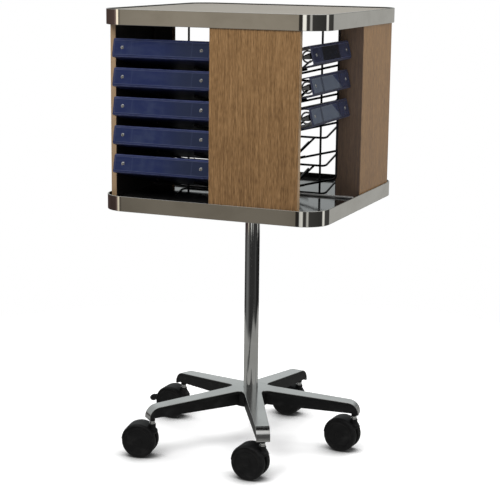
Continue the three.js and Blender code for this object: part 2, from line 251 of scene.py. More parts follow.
@dataclass(frozen=True)
class Finish:
    """A surface finish that is made into a material once."""

    name: str

    @cache
    def material(self) -> bpy.types.Material:
        """Builds the finish's material at its first use.

        Returns:
            The material.
        """
        made = bpy.data.materials.new(f"{self.name}_finish")
        made.use_nodes = True
        graph = Graph(made.node_tree)
        shader = graph.out("BsdfPrincipled", self.paint(graph))
        graph.add("OutputMaterial", {0: shader})
        return made

    def paint(self, graph: Graph) -> Inputs:
        """Adds the nodes of what changes over the surface.

        Args:
            graph: the material's graph.

        Returns:
            A value or a link for each of the shader's inputs that the finish sets.
        """
        raise NotImplementedError


@dataclass(frozen=True)
class OakVeneer(Finish):
    """Lacquered veneer with upright grain and a paler strip on cut edges."""

    dark: Colour = (0.112, 0.056, 0.019, 1)
    middle: Colour = (0.213, 0.114, 0.042, 1)
    light: Colour = (0.303, 0.174, 0.073, 1)
    edge: Colour = (0.340, 0.235, 0.140, 1)
    # near-black colour given to the inner faces at the back of the panel and its return
    inner_black: Colour = (0.030, 0.026, 0.025, 1)
    # greyish tint painted on the side in a compartment as its sheen
    dust_and_sheen: Colour = (0.285, 0.230, 0.220, 1)
    # painted light: how much paler the veneer is made per metre of height above the level below
    top_light: float = 0.2
    top_light_level: float = 0.98
    ring_pitch: float = 520.0

    def paint(self, graph: Graph) -> Inputs:
        """Fibres, pores and thin growth lines drawn out along Z, with painted light paler towards the
        top.

        The lie gives the distance to a corner, 1 on the cut edge and -1 on the side in a
        compartment, which gets a greyish painted sheen, and the mark of the near-black inner faces.
        """
        x, y, z = graph.split(graph.place)
        rim, cut, back = graph.lie()
        wander = graph.noise((6, 6, 1.1))
        figure = graph.noise((14, 14, 0.9), 1, 0.2)
        streak = graph.noise((330, 330, 3.5), 1)
        fibre = graph.noise((640, 640, 21), 1)
        fleck = graph.noise((655, 655, 60), 1)
        pores = graph.noise((760, 760, 40), 1).rise(0.60, 0.74)
        phase = (x + y + (wander - 0.5) * 0.20) * self.ring_pitch
        growth = (phase.sine() * 0.5 + 0.5).rise(0.72, 1.0) * figure.rise(0.54, 0.66)
        grain = figure * 0.12 + streak * 0.35 + fibre * 0.8 + fleck * 0.85 - growth * 0.10
        # painted light: the tone rises with height, as light from above falls on the panels
        tone = grain - 0.56 + (z - self.top_light_level) * self.top_light
        veneer = graph.ramp(tone, [(0.24, self.dark), (0.50, self.middle), (0.76, self.light)])
        pored = graph.mix(pores * 0.15, veneer, self.dark)
        # the side in a compartment gets a greyish painted sheen, the cut edge its paler banding
        banded = graph.mix(cut * 0.8, graph.mix(cut * -0.4, pored, self.dust_and_sheen), self.edge)
        rubbed = 1 - rim.rise(0.0003, 0.0014)
        worn = rubbed * graph.noise((60, 60, 25)).rise(0.35, 0.65) * 0.5
        return {
            "Base Color": graph.mix(back, graph.mix(worn, banded, self.edge), self.inner_black),
            "Roughness": 0.36 + fibre * 0.12 + pores * 0.15,
            "Normal": graph.bump(fibre * 0.5 - pores * 0.8, 0.08, 0.0002),
            "Coat Weight": 0.40,
            "Coat Roughness": 0.26,
        }


@dataclass(frozen=True)
class PolishedMetal(Finish):
    """Rolled or plated metal with faint waves, rubbing lines and finger marks."""

    clean: Colour = (0.74, 0.725, 0.68, 1)
    dull: Colour = (0.62, 0.60, 0.55, 1)
    gloss: float = 0.03
    lines: Point = (5, 5, 1500)
    wave: float = 0.03
    metal: float = 1.0
    inner_shade: Colour = grey(0.010)

    def paint(self, graph: Graph) -> Inputs:
        """Smudges change tone and gloss, rubbing lines and long waves bend the reflections.

        The lie marks a side that is painted near-black as its shade instead of polished.
        """
        shaded_side, _, _ = graph.lie()
        smudge = graph.noise((9, 9, 14), 4, 0.4)
        rubbing = graph.noise(self.lines)
        scratch = graph.noise([0.35 * cells for cells in self.lines], 1).rise(0.66, 0.72)
        marks = smudge.rise(0.45, 0.8) * 0.05 + rubbing * 0.03 + scratch * 0.06
        waves = graph.bump(graph.noise((7, 7, 3), 1), self.wave, 0.02)
        polished = graph.mix(smudge.rise(0.3, 0.85), self.clean, self.dull)
        return {
            # painted shade: the marked side is near-black and not metal
            "Base Color": graph.mix(shaded_side, polished, self.inner_shade),
            "Roughness": self.gloss + marks + shaded_side * 0.4,
            "Normal": graph.bump(rubbing, 0.03, 0.0002, Normal=waves),
            "Metallic": self.metal - shaded_side * self.metal,
        }


@dataclass(frozen=True)
class Laminate(Finish):
    """Pressed laminate: a speckled ground under a clear face with fine scuffs."""

    ground: Colour = (0.270, 0.246, 0.208, 1)
    speck: Colour = (0.216, 0.198, 0.167, 1)
    scuff: Colour = (0.342, 0.317, 0.280, 1)
    gloss: float = 0.48

    def paint(self, graph: Graph) -> Inputs:
        """Specks and clouds for the colour, thin crossing scuffs for the gloss."""
        specks = graph.noise(650, 3).rise(0.50, 0.68)
        clouds = graph.noise(7, 3)
        scuffs = graph.noise((24, 900, 40), 2, 0.3).rise(0.68, 0.76)
        crossing = graph.noise((700, 19, 40), 2, 0.3).rise(0.69, 0.77)
        marks = scuffs.most(crossing)
        mottled = graph.mix(specks * 0.55 + clouds * 0.25, self.ground, self.speck)
        return {
            "Base Color": graph.mix(marks * 0.35, mottled, self.scuff),
            "Roughness": self.gloss + clouds * 0.08 + marks * 0.16,
            "Normal": graph.bump(specks * 0.4 - marks, 0.12, 0.0001),
        }


@dataclass(frozen=True)
class PaintedWire(Finish):
    """Gloss black dipped wire with orange peel and rubbed spots."""

    coat: Colour = grey(0.006)
    rubbed: Colour = (0.05, 0.05, 0.052, 1)

    def paint(self, graph: Graph) -> Inputs:
        """Fine orange peel, and a few spots worn duller."""
        peel = graph.noise(420)
        wear = graph.noise(45, 3).rise(0.56, 0.72)
        return {
            "Base Color": graph.mix(wear * 0.6, self.coat, self.rubbed),
            "Roughness": 0.24 + peel * 0.10 + wear * 0.22,
            "Normal": graph.bump(peel, 0.15, 0.0002),
        }


@dataclass(frozen=True)
class Vinyl(Finish):
    """Grained vinyl over stiff board, sealed round its rim, with paler folds from wear and painted
    highlight.
    """

    sheet: Colour = (0.0165, 0.0235, 0.080, 1)
    deep: Colour = (0.0105, 0.0150, 0.048, 1)
    pale_wear_and_highlight: Colour = (0.070, 0.085, 0.180, 1)
    half_length: float = 0.1435
    half_girth: float = 0.274
    spine_edge: float = 0.0235
    grain: float = 900.0
    specular: float = 0.36

    def paint(self, graph: Graph) -> Inputs:
        """The lie gives the distance along the spine and round the cover from its middle."""
        along, girth, _ = graph.lie()
        rim = (self.half_length - abs(along)).least(self.half_girth - abs(girth))
        seal = rim.rise(0.0018, 0.0028) * (1 - rim.rise(0.0034, 0.0044))
        # the spine's folds are paler partly from wear and partly from a painted highlight
        fold_wear_and_highlight = 1 - abs(abs(girth) - self.spine_edge).rise(0.0006, 0.0026)
        grain = graph.signal("TexVoronoi", {"Vector": graph.place, "Scale": self.grain})
        clouds = graph.noise(30, 4)
        patchy = graph.noise(120, 3).rise(0.3, 0.7)
        tone = graph.mix(clouds.rise(0.35, 0.7), self.sheet, self.deep)
        edged = graph.mix((1 - rim.rise(0.0, 0.0016)) * 0.5, tone, self.pale_wear_and_highlight)
        return {
            "Base Color": graph.mix(fold_wear_and_highlight * (0.35 + patchy * 0.5), edged, self.pale_wear_and_highlight),
            "Roughness": 0.30 + clouds * 0.14 + fold_wear_and_highlight * 0.08 + grain * 0.06,
            "Normal": graph.bump(grain * 0.5 - seal * 1.6, 0.22, 0.0004),
            "Specular IOR Level": self.specular,
        }


@dataclass(frozen=True)
class PocketFilm(Finish):
    """Clear label pocket on the spine, welded round its edge, hazy from handling, painted glints and
    shade.
    """

    film: Colour = (0.0150, 0.0215, 0.070, 1)
    haze_and_reflection: Colour = (0.031, 0.041, 0.086, 1)
    weld: Colour = (0.046, 0.056, 0.115, 1)
    # darker colour painted towards one end of the spine as shade
    far: Colour = (0.0175, 0.0230, 0.0480, 1)
    label: Colour = (0.0150, 0.0215, 0.070, 1)
    patch_start: float = 0.2
    patch_end: float = -0.2
    patch_slant: float = 0.0
    cross_weld: float = 0.088
    cross_mark: float = 0.32
    cross_width: float = 0.0022
    specular: float = 0.36

    def paint(self, graph: Graph) -> Inputs:
        """The lie gives the distances to the film's edge, along the spine and across it.

        Welds run round the edge and across the spine at both ends of the label. The label colour
        shows only where a patch starts before it ends: a black label, and a painted sheen on pale
        pockets.
        """
        rim, along, across = graph.lie()
        edge = rim.rise(0.0002, 0.0008) * (1 - rim.rise(0.0014, 0.0022))
        beside = abs(abs(along) - self.cross_weld)
        weld = edge.most((1 - beside.rise(0.3 * self.cross_width, self.cross_width)) * self.cross_mark)
        clouds = graph.noise((22, 22, 60), 3, 0.6)
        ripple = graph.noise((16, 16, 90))
        # the cloudy patches and glints in the film are partly hazing from handling, partly painted
        # reflection highlights
        glints = graph.noise((36, 36, 5), 2, 0.3).rise(0.44, 0.74)
        hazed_and_reflecting = graph.mix((clouds.rise(0.35, 0.75) + glints) * 0.45, self.film, self.haze_and_reflection)
        # painted shade: the film darkens towards one end of the spine
        shaded_towards_end = graph.mix(along.rise(-0.03, 0.09), hazed_and_reflecting, self.far)
        end = self.patch_end - across * self.patch_slant - along
        # the patch takes the label colour: a black label on one pocket, a painted sheen on the pale ones
        inside = (along - self.patch_start).rise(0.0, 0.002) * end.rise(0.0, 0.004)
        patched = graph.mix(inside * (0.75 + clouds * 0.25), shaded_towards_end, self.label)
        return {
            "Base Color": graph.mix(weld * 0.8, patched, self.weld),
            "Roughness": 0.10 + clouds * 0.12 + weld * 0.2,
            "Normal": graph.bump(ripple + weld * 0.15, 0.10, 0.003),
            "Specular IOR Level": self.specular,
        }


@dataclass(frozen=True)
class MouldedPlastic(Finish):
    """Textured black moulding with dust and scuffs."""

    black: Colour = (0.0042, 0.0042, 0.0044, 1)
    dust_and_sheen: Colour = grey(0.0170)
    gloss: float = 0.42
    grain: float = 1400.0
    specular: float = 0.26

    def paint(self, graph: Graph) -> Inputs:
        """A pebbled grain for bump, clouds of dust and thin scuffs for tone and gloss."""
        pebble = graph.noise(self.grain)
        clouds = graph.noise((38, 38, 55), 4)
        scuffs = graph.noise((60, 60, 900), 2, 0.5).rise(0.66, 0.74)
        dusty = clouds.rise(0.45, 0.78) * 0.55 + scuffs * 0.4
        return {
            "Base Color": graph.mix(dusty, self.black, self.dust_and_sheen),
            "Roughness": self.gloss + pebble * 0.12 + clouds * 0.10,
            "Normal": graph.bump(pebble - scuffs * 0.6, 0.22, 0.0002),
            "Specular IOR Level": self.specular,
        }


EVEN = (300, 300, 300)
BAND_STEEL = PolishedMetal("band_steel")
BRIGHT_PLATE = PolishedMetal(
    "bright_plate", (0.80, 0.80, 0.79, 1), (0.62, 0.62, 0.61, 1), gloss=0.12, lines=EVEN, wave=0.02)
# zinc-plated rings in a pale, mostly matt colour that partly paints their bright reflection
RING_ZINC_AND_HIGHLIGHT = PolishedMetal(
    "ring_zinc_and_highlight", (0.92, 0.92, 0.90, 1), (0.80, 0.80, 0.78, 1),
    gloss=0.28, lines=EVEN, wave=0.02, metal=0.25)
# painted shade: a near-black metal for the ring plate and levers inside the spine
RING_PLATE_SHADE = PolishedMetal("ring_plate_painted_shade", grey(0.10), grey(0.05), gloss=0.16, lines=EVEN, wave=0.02)
CHROME = PolishedMetal(
    "column_chrome", (0.80, 0.80, 0.785, 1), (0.68, 0.68, 0.66, 1),
    gloss=0.045, lines=(260, 260, 4), wave=0.02)
TURNTABLE_ZINC = PolishedMetal(
    "turntable_zinc", (0.46, 0.47, 0.48, 1), (0.34, 0.35, 0.36, 1),
    gloss=0.30, lines=(90, 90, 90), wave=0.05)
CAP_POLISH = PolishedMetal(
    "cap_polish", (0.63, 0.63, 0.62, 1), (0.52, 0.52, 0.51, 1),
    gloss=0.13, lines=(240, 240, 240), wave=0.04)
VENEER = OakVeneer("oak_veneer")
TOP_LAMINATE = Laminate("top_laminate")
FLOOR_LAMINATE = Laminate("floor_laminate", grey(0.014), grey(0.009), grey(0.05), gloss=0.05)
# painted highlight: a pale colour stands for the bright reflection on the chrome floor rail
RAIL_PAINTED_HIGHLIGHT = Laminate(
    "rail_painted_highlight", (0.92, 0.91, 0.88, 1), (0.80, 0.79, 0.76, 1), (0.66, 0.65, 0.62, 1), gloss=0.16)
BLACK_WIRE = PaintedWire("black_wire")
BASE_MOULDING = MouldedPlastic("base_moulding", gloss=0.34)
CASTER_MOULDING = MouldedPlastic("caster_moulding")
WHEEL_MOULDING = MouldedPlastic(
    "wheel_moulding", (0.0046, 0.0046, 0.0048, 1), (0.0190, 0.0187, 0.0182, 1), gloss=0.46, grain=900.0)
CLEAR_POCKET = PocketFilm("clear_pocket")
DARK_LABEL = PocketFilm(
    "dark_label", film=(0.0125, 0.0145, 0.0360, 1), haze_and_reflection=(0.029, 0.032, 0.050, 1),
    label=(0.003, 0.003, 0.004, 1), patch_start=-0.070, patch_end=0.060)
# painted sheen: a pale patch on the film of two right-side binders, given as a label colour
PAINTED_SHEEN_POCKET = PocketFilm(
    "pale_painted_sheen", weld=(0.012, 0.015, 0.028, 1), label=(0.078, 0.092, 0.117, 1),
    patch_start=-0.138, patch_end=0.050, patch_slant=1.5,
    cross_weld=0.066, cross_mark=0.85, cross_width=0.010)
NAVY_VINYL = Vinyl("navy_vinyl")
# painted shade: a darker copy of the navy vinyl for the binders on the right side
SHADED_NAVY_VINYL = Vinyl(
    "shaded_navy_vinyl", (0.0170, 0.0190, 0.0420, 1), (0.0110, 0.0125, 0.0270, 1), (0.060, 0.063, 0.095, 1))


# Surfaces


def grid(*parts: Array | float) -> Array:
    """Points or vectors from coordinates that are spread over a common grid."""
    return np.stack(np.broadcast_arrays(*parts), axis=-1)


def unit(vectors: Array) -> Array:
    """Vectors brought to length 1."""
    return vectors / np.linalg.norm(vectors, axis=-1, keepdims=True)


def spread(*parts: tuple[float, float, int]) -> Array:
    """Stations from several runs of (from, to, steps), joined without repeats."""
    runs = [np.linspace(start, end, steps, endpoint=False) for start, end, steps in parts]
    return np.concatenate(runs + [[parts[-1][1]]])


def circle(steps: int) -> Array:
    """Angles of equal steps round a circle."""
    return np.linspace(0, 2 * np.pi, steps, endpoint=False)


def centred(*parts: tuple[float, float, int]) -> Array:
    """Stations on both sides of zero, from runs that lead from one end to the middle."""
    run = spread(*parts)
    return np.concatenate([run - run[-1], (run[-1] - run)[-2::-1]])


def to_ends(stations: Array) -> Array:
    """Distance of each station to the nearer end of them all."""
    return np.minimum(stations - stations.min(), stations.max() - stations)


def lengths(line: Array) -> Array:
    """Distance along a line of points from its start."""
    return np.concatenate([[0], np.cumsum(np.linalg.norm(np.diff(line, axis=0), axis=1))])


def resampled(stations: Array, reach: Array, pairs: Array) -> Array:
    """Pairs of values along a line, taken at other distances."""
    return np.stack([np.interp(stations, reach, values) for values in pairs.T], axis=-1)


def upright(tangent: Array) -> Array:
    """Normals of a line of (x, z), for a wall that is laid across it along Y."""
    return grid(-tangent[:, 1], 0.0, tangent[:, 0])[:, None]


def rounded(distance: Array, ease: float) -> Array:
    """A quarter round: 0 at a border, 1 from the ease inwards, sqrt(1 - (1 - d / ease)^2)."""
    return np.sqrt(1 - (1 - np.clip(distance / ease, 0, 1)) ** 2)


def bent_path(corners: Corners, radius: float, steps: int) -> tuple[Array, Array]:
    """Straight runs with an arc of one radius at each inner corner.

    Args:
        corners: the corner points.
        radius: the radius of the bends.
        steps: steps in a bend.

    Returns:
        The points and the unit tangents.
    """
    corners = np.array(corners, float)
    runs = unit(np.diff(corners, axis=0))
    points, tangents = [corners[:1]], [runs[:1]]
    for corner, arriving, leaving in zip(corners[1:-1], runs[:-1], runs[1:]):
        turn = math.acos(float(np.clip(arriving @ leaving, -1, 1)))
        side = unit(leaving - math.cos(turn) * arriving)
        angle = np.linspace(0, turn, steps + 1)[:, None]
        start = corner - arriving * radius * math.tan(turn / 2)
        points.append(start + radius * (np.sin(angle) * arriving + (1 - np.cos(angle)) * side))
        tangents.append(np.cos(angle) * arriving + np.sin(angle) * side)
    return np.concatenate(points + [corners[-1:]]), np.concatenate(tangents + [runs[-1:]])


@dataclass(frozen=True)
class Place:
    """Where a local point goes: an origin and the directions of the three local axes."""

    origin: Point
    axes: tuple[Point, ...]

    @staticmethod
    def turned(degrees: float, origin: Point = (0, 0, 0)) -> Place:
        """A turn about Z, then a move."""
        c, s = math.cos(math.radians(degrees)), math.sin(math.radians(degrees))
        return Place(origin, ((c, s, 0), (-s, c, 0), (0, 0, 1)))

    def __call__(self, points: Array) -> Array:
        """Local points in the frame."""
        return points @ np.array(self.axes) + np.array(self.origin)

    def then(self, outer: Place) -> Place:
        """This place inside another."""
        axes = np.array(self.axes) @ np.array(outer.axes)
        return Place(tuple(outer(np.array(self.origin, float))), tuple(map(tuple, axes)))


HERE = Place.turned(0)
SIDEWAYS = np.array([0.0, 1.0, 0.0])
BEND_STEPS = 8
FOLD_STEPS = 10
WIRE_SIDES = 16
WIRE_CHAMFER = 0.25  # share of a wire's radius


class Surface:
    """Gathers sheets of points and writes them as one mesh."""

    def __init__(self, place: Place = HERE) -> None:
        """Starts empty; every sheet that is added is put in this place."""
        self.place = place
        self._points: list[Array] = []
        self._quads: list[Array] = []
        self._lies: list[Array] = []
        self._count = 0

    def sheet(self, points: Array, wrap: bool = False, lie: Array | None = None) -> Surface:
        """Adds a grid of quads.

        Args:
            points: rows by columns by 3.
            wrap: whether the last column joins the first.
            lie: three numbers a point for its finish, in metres.

        Returns:
            The same surface.
        """
        rows, columns = points.shape[:2]
        index = self._count + np.arange(rows * columns).reshape(rows, columns)
        if wrap:
            index = np.concatenate([index, index[:, :1]], axis=1)
        corners = [index[:-1, :-1], index[:-1, 1:], index[1:, 1:], index[1:, :-1]]
        self._quads.append(np.stack(corners, axis=-1).reshape(-1, 4))
        self._points.append(self.place(points.reshape(-1, 3)))
        self._lies.append(np.zeros((rows * columns, 3)) if lie is None else lie.reshape(-1, 3))
        self._count += rows * columns
        return self

    def shell(
        self, middle: Array, normal: Array, thickness: Array, lie: Array | None = None,
    ) -> Surface:
        """Adds a wall: two sheets half the thickness above and below a middle one.

        Where the thickness falls to nothing at the border the sheets meet and close.

        Args:
            middle: the middle sheet's points.
            normal: unit normals that spread over them.
            thickness: the wall's thickness at each of them.
            lie: as for a sheet.

        Returns:
            The same surface.
        """
        half = normal * (thickness / 2)[..., None]
        under = None if lie is None else lie[:, ::-1]
        return self.sheet(middle + half, lie=lie).sheet((middle - half)[:, ::-1], lie=under)

    def turned(self, profile: Profile, segments: int, axis: Place = HERE) -> Surface:
        """Adds a profile carried round an axis: points (radius cos a, radius sin a, height).

        Args:
            profile: pairs of radius and height.
            segments: steps round the axis.
            axis: where the axis stands in the surface's own place.

        Returns:
            The same surface.
        """
        radius, height = np.array(profile, float).T[..., None]
        angle = circle(segments)
        return self.sheet(axis(grid(radius * np.cos(angle), radius * np.sin(angle), height)), wrap=True)

    def wire(self, corners: Corners, bend: float, across: Point, radius: float) -> Surface:
        """Adds a round wire: a circle carried along straight runs and round bends in one plane.

        A point is centre + radius (cos a side + sin a across), and both ends close in a chamfer.

        Args:
            corners: the corners of the wire's middle line.
            bend: the radius of its bends.
            across: the unit normal of its plane.
            radius: the wire's own radius.

        Returns:
            The same surface.
        """
        path = bent_path(corners, bend, BEND_STEPS)
        centre, tangent = (np.pad(rows, ((2, 2), (0, 0)), "edge") for rows in path)
        ease = WIRE_CHAMFER * radius
        centre[2] += ease * tangent[2]
        centre[-3] -= ease * tangent[-3]
        size = np.pad(np.full(len(path[0]), radius), 2)
        size[[1, -2]] = radius - ease
        second = np.array(across, float)
        angle = circle(WIRE_SIDES)[:, None]
        ring = np.cos(angle) * np.cross(tangent, second)[:, None] + np.sin(angle) * second
        return self.sheet(centre[:, None] + size[:, None, None] * ring, wrap=True)

    def piece(
        self,
        name: str,
        finish: Finish,
        body: str,
        slot: str,
        stands_for: Sequence[str] = (),
        sharp: float = 38.0,
    ) -> bpy.types.Object:
        """Writes the mesh with merged seams, closed ends and outward faces.

        Args:
            name: the piece's name.
            finish: its finish.
            body: the moving body that carries it.
            slot: the name of a material slot; not used.
            stands_for: frame nodes that it shows instead.
            sharp: the angle in degrees from which an edge stays sharp.

        Returns:
            The new object.
        """
        mesh = bpy.data.meshes.new(name)
        points = np.concatenate(self._points) * MM
        mesh.from_pydata(points.tolist(), [], np.concatenate(self._quads).tolist())
        lie = mesh.attributes.new("lie", "FLOAT_VECTOR", "POINT")
        lie.data.foreach_set("vector", np.concatenate(self._lies).ravel())
        work = bmesh.new()
        work.from_mesh(mesh)
        bmesh.ops.remove_doubles(work, verts=work.verts, dist=MERGE)
        bmesh.ops.dissolve_degenerate(work, edges=work.edges, dist=SLIVER)
        rims = [edge for edge in work.edges if edge.is_boundary]
        bmesh.ops.holes_fill(work, edges=rims, sides=0)
        bmesh.ops.recalc_face_normals(work, faces=work.faces)
        work.to_mesh(mesh)
        work.free()
        mesh.shade_smooth()
        mesh.set_sharp_from_angle(angle=math.radians(sharp))
        mesh.materials.append(finish.material())
        made = shown(name, mesh)
        flats = made.modifiers.new("flats", "WEIGHTED_NORMAL")
        flats.keep_sharp = True
        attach(made, body)
        if stands_for:
            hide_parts(*stands_for)
        log.info("%s: %d faces on %s", name, len(mesh.polygons), body)
        return made


def shown(name: str, data: bpy.types.ID) -> bpy.types.Object:
    """Puts a mesh, lamp or camera in the scene.

    Args:
        name: the object's name.
        data: what it shows.

    Returns:
        The new object.
    """
    made = bpy.data.objects.new(name, data)
    bpy.context.scene.collection.objects.link(made)
    return made


def dress(node: str, finish: Finish) -> None:
    """Gives a frame node a better finish in its own slots.

    Args:
        node: the node's name.
        finish: its finish.
    """
    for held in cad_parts[node].material_slots:
        held.material = finish.material()
    log.info("%s: finish %s", node, finish.name)


# Sub-assemblies

FLOOR_TOP = 741.8
CEILING = 1221.2
ARMS = 5
ARM_PHASE = -61.0
ARM_TURNS = [ARM_PHASE + number * 360 / ARMS for number in range(ARMS)]


@dataclass(frozen=True)
class Drum:
    """Two boards with polished edge bands, held apart by four panels."""

    side: float = 635.0
    corner: float = 69.0
    base: float = 714.0
    height: float = 535.0
    band_height: float = 41.0
    band_wall: float = 3.0
    band_lip: float = 1.1
    panel_face: float = 313.0
    panel_wall: float = 16.0
    panel_start: float = 4.0
    panel_end: float = 252.5
    panel_height: float = 479.4
    return_end: float = 241.0
    corner_ease: float = 1.5
    end_ease: float = 1.0

    def band(self, foot: float) -> tuple[Array, Array]:
        """A flat strip with round lips carried round a square with round corners.

        Each point is the outline at the corner radius plus its outward normal times the strip's
        depth.

        Args:
            foot: height of the strip's lower lip.

        Returns:
            The grid, and its lie: the mark of the inner side, which is painted black as its shade.
        """
        sweep = np.linspace(0, np.pi / 2, 33)
        start = np.array([[1, 1], [-1, 1], [-1, -1], [1, -1]]) * (self.side / 2 - self.corner)
        angle = (np.arange(4)[:, None] * np.pi / 2 + sweep).ravel()
        normal = grid(np.cos(angle), np.sin(angle))
        outline = np.repeat(start, len(sweep), axis=0) + self.corner * normal
        half, turn = self.band_height / 2, np.linspace(0, np.pi / 2, 5)
        bow = grid(np.cos(turn), np.sin(turn)) * self.band_lip
        outer = bow + (-self.band_lip, half - self.band_lip)
        inner = bow[::-1] * (-1, 1) + (self.band_lip - self.band_wall, half - self.band_lip)
        upper = np.concatenate([outer, inner])
        loop = np.concatenate([upper, (upper * (1, -1))[::-1]])
        plan = outline[:, None] + normal[:, None] * loop[:, :1]
        ring = grid(plan[..., 0], plan[..., 1], loop[:, 1] + foot + half)
        closed = np.concatenate([ring, ring[:1]])
        # mark the inner side, whose shade the finish paints black
        lie = np.zeros_like(closed)
        lie[:, len(upper) - 2:len(upper) + 2, 0] = 1
        return closed, lie

    def panel(self) -> tuple[Array, Array]:
        """An L in plan with eased corners, carried upwards and eased at both ends.

        Returns:
            The grid, and its lie: the distance to the nearest corner line, the mark of the cut edge
            or, below zero, of the side in the compartment, and the mark of the near-black inner faces.
        """
        far, near = -self.panel_face, -self.panel_face + self.panel_wall
        left, inner = self.panel_start, self.panel_start + self.panel_wall
        corners = np.array([
            [left, far], [self.panel_end, far], [self.panel_end, near],
            [inner, near], [inner, -self.return_end], [left, -self.return_end],
        ])
        before = unit(corners - np.roll(corners, 1, axis=0))
        after = unit(np.roll(corners, -1, axis=0) - corners)
        steps = 6
        t = np.linspace(0, 1, steps)[:, None]
        start, end = corners - self.corner_ease * before, corners + self.corner_ease * after
        arcs = (1 - t) ** 2 * start[:, None] + 2 * t * (1 - t) * corners[:, None] + t**2 * end[:, None]
        tangent = (1 - t) * before[:, None] + t * after[:, None]
        outline = arcs.reshape(-1, 2)
        normal = unit(grid(tangent[..., 1], -tangent[..., 0])).reshape(-1, 2)
        half = self.panel_height / 2
        rise = centred((0, 1, 4), (1, 4, 1), (4, half, 6))[:, None] + half
        border = to_ends(rise)
        inset = self.end_ease * (1 - rounded(border, self.end_ease))
        plan = outline - normal * inset[..., None]
        reach = np.abs(outline[:, None] - corners).max(axis=-1).min(axis=-1)
        # a side has the number of the corner that it ends at
        side = np.floor(np.arange(len(outline)) / steps + 0.5) % len(corners)
        cut = np.select([side == 2, side == 0], [1.0, -1.0], 0.0)
        back = np.isin(side, (3, 4)).astype(float)
        points = grid(plan[..., 0], plan[..., 1], rise + FLOOR_TOP)
        return points, grid(np.minimum(reach, border) * MM, cut, back)

    def build(self) -> None:
        """Makes the bands and panels and dresses the boards."""
        bands = {"bottom_band": self.base, "top_band": self.base + self.height - self.band_height}
        for label, foot in bands.items():
            points, lie = self.band(foot)
            Surface().sheet(points, wrap=True, lie=lie).piece(
                f"{label}_strip", BAND_STEEL, "carousel", "polished_band", [label])
        points, lie = self.panel()
        for face in Face:
            node = f"panel_{face.label}"
            Surface(face.place).sheet(points, wrap=True, lie=lie).piece(
                f"{node}_veneered", VENEER, "carousel", "oak_panel", [node])
        dress("top_board", TOP_LAMINATE)
        dress("bottom_board", FLOOR_LAMINATE)


@dataclass(frozen=True)
class WireRack:
    """Hoop, sloping shelf wires and side ladder of one compartment, in the front one's place."""

    face: Face
    radius: float = 3.0
    bend: float = 12.0
    levels: int = 5
    pitch: float = 77.4
    lowest: float = 813.0
    edge: float = 284.0
    tilt: float = math.radians(14)
    middle: float = -149.0
    hoop_half: float = 42.0
    hoop_out: float = 19.5
    brace_start: float = 26.0
    shelf_half: float = 55.5
    shelf_ends: tuple[float, float] = (25.8, 190.0)
    shelf_gap: float = 0.3
    ladder_side: float = 0.5
    ladder_ends: tuple[float, float] = (52.0, 245.0)
    ladder_bend: float = 11.0
    guide_drop: float = 10.0
    rail_end: float = 296.0

    def rest(self, level: int, out: float) -> float:
        """Height of a level's sloping plane at a distance out from the centre."""
        back = (self.edge - out) * math.tan(self.tilt)
        return self.lowest + (self.levels - level) * self.pitch - back

    def hoop(self) -> Surface:
        """Two uprights joined at the top, and the diagonal braces on them.

        Returns:
            The wires.
        """
        made = Surface(self.face.place)
        left, right, depth = self.middle - self.hoop_half, self.middle + self.hoop_half, -self.hoop_out
        top = CEILING - self.radius
        bow = (left, FLOOR_TOP), (left, top), (right, top), (right, FLOOR_TOP)
        made.wire([(x, depth, z) for x, z in bow], self.bend, (0, 1, 0), self.radius)
        across = self.middle - self.brace_start
        for level in range(1, self.levels):
            start = self.rest(level, self.hoop_out)
            brace = [(across, depth, start), (across + self.pitch, depth, start - self.pitch)]
            made.wire(brace, 0, (0, 1, 0), self.radius)
        return made

    def shelf(self, level: int) -> Surface:
        """A sloping U under a binder, open to the outside.

        Args:
            level: its number, counted from the top.

        Returns:
            The wire.
        """
        inner, outer = self.shelf_ends
        left, right = self.middle - self.shelf_half, self.middle + self.shelf_half
        drop = (self.radius + self.shelf_gap) / math.cos(self.tilt)
        plan = (left, outer), (left, inner), (right, inner), (right, outer)
        line = [(x, -out, self.rest(level, out) - drop) for x, out in plan]
        across = (0, math.sin(self.tilt), math.cos(self.tilt))
        return Surface(self.face.place).wire(line, self.bend, across, self.radius)

    def ladder(self) -> Surface:
        """Two uprights with sloping guide wires between them.

        Returns:
            The wires.
        """
        made = Surface(self.face.place)
        side, (inner, outer) = self.ladder_side, self.ladder_ends
        *guides, low = [
            [(side, -out, self.rest(level, out) - self.guide_drop) for out in (inner, outer)]
            for level in range(1, self.levels + 1)]
        post = [(side, -inner, FLOOR_TOP), (side, -inner, CEILING)]
        bow = [(side, -outer, CEILING), low[1], low[0]]
        for line, bend in [(post, 0), (bow, self.ladder_bend)] + [(guide, 0) for guide in guides]:
            made.wire(line, bend, (1, 0, 0), self.radius)
        return made

    def build(self) -> None:
        """Makes the rack's wires as smooth bent rounds."""
        label = self.face.label
        wires = {f"rack_frame_{label}": self.hoop()}
        for level in range(1, self.levels + 1):
            wires[f"shelf_{label}_{level}"] = self.shelf(level)
        wires[f"rack_ladder_{label}"] = self.ladder()
        for node, made in wires.items():
            made.piece(f"{node}_rod", BLACK_WIRE, "carousel", "black_wire", [node])
        # the floor rail takes a pale colour as its painted highlight
        height = FLOOR_TOP + self.radius
        ends = [(self.ladder_side, -out, height) for out in (self.ladder_ends[0], self.rail_end)]
        Surface(self.face.place).wire(ends, 0, (1, 0, 0), self.radius).piece(
            f"rack_ladder_{label}_rail", RAIL_PAINTED_HIGHLIGHT, "carousel", "column_chrome")


RIVET_PROFILE = (
    (AXIS, 1.9),
    *((3.9 * math.cos(a), 0.5 + 1.4 * math.sin(a)) for a in np.linspace(np.pi / 2, 0, 7)[1:]),
    (4.5, 0.5), (4.9, 0.2), (4.9, -0.3), (AXIS, -0.3),
)


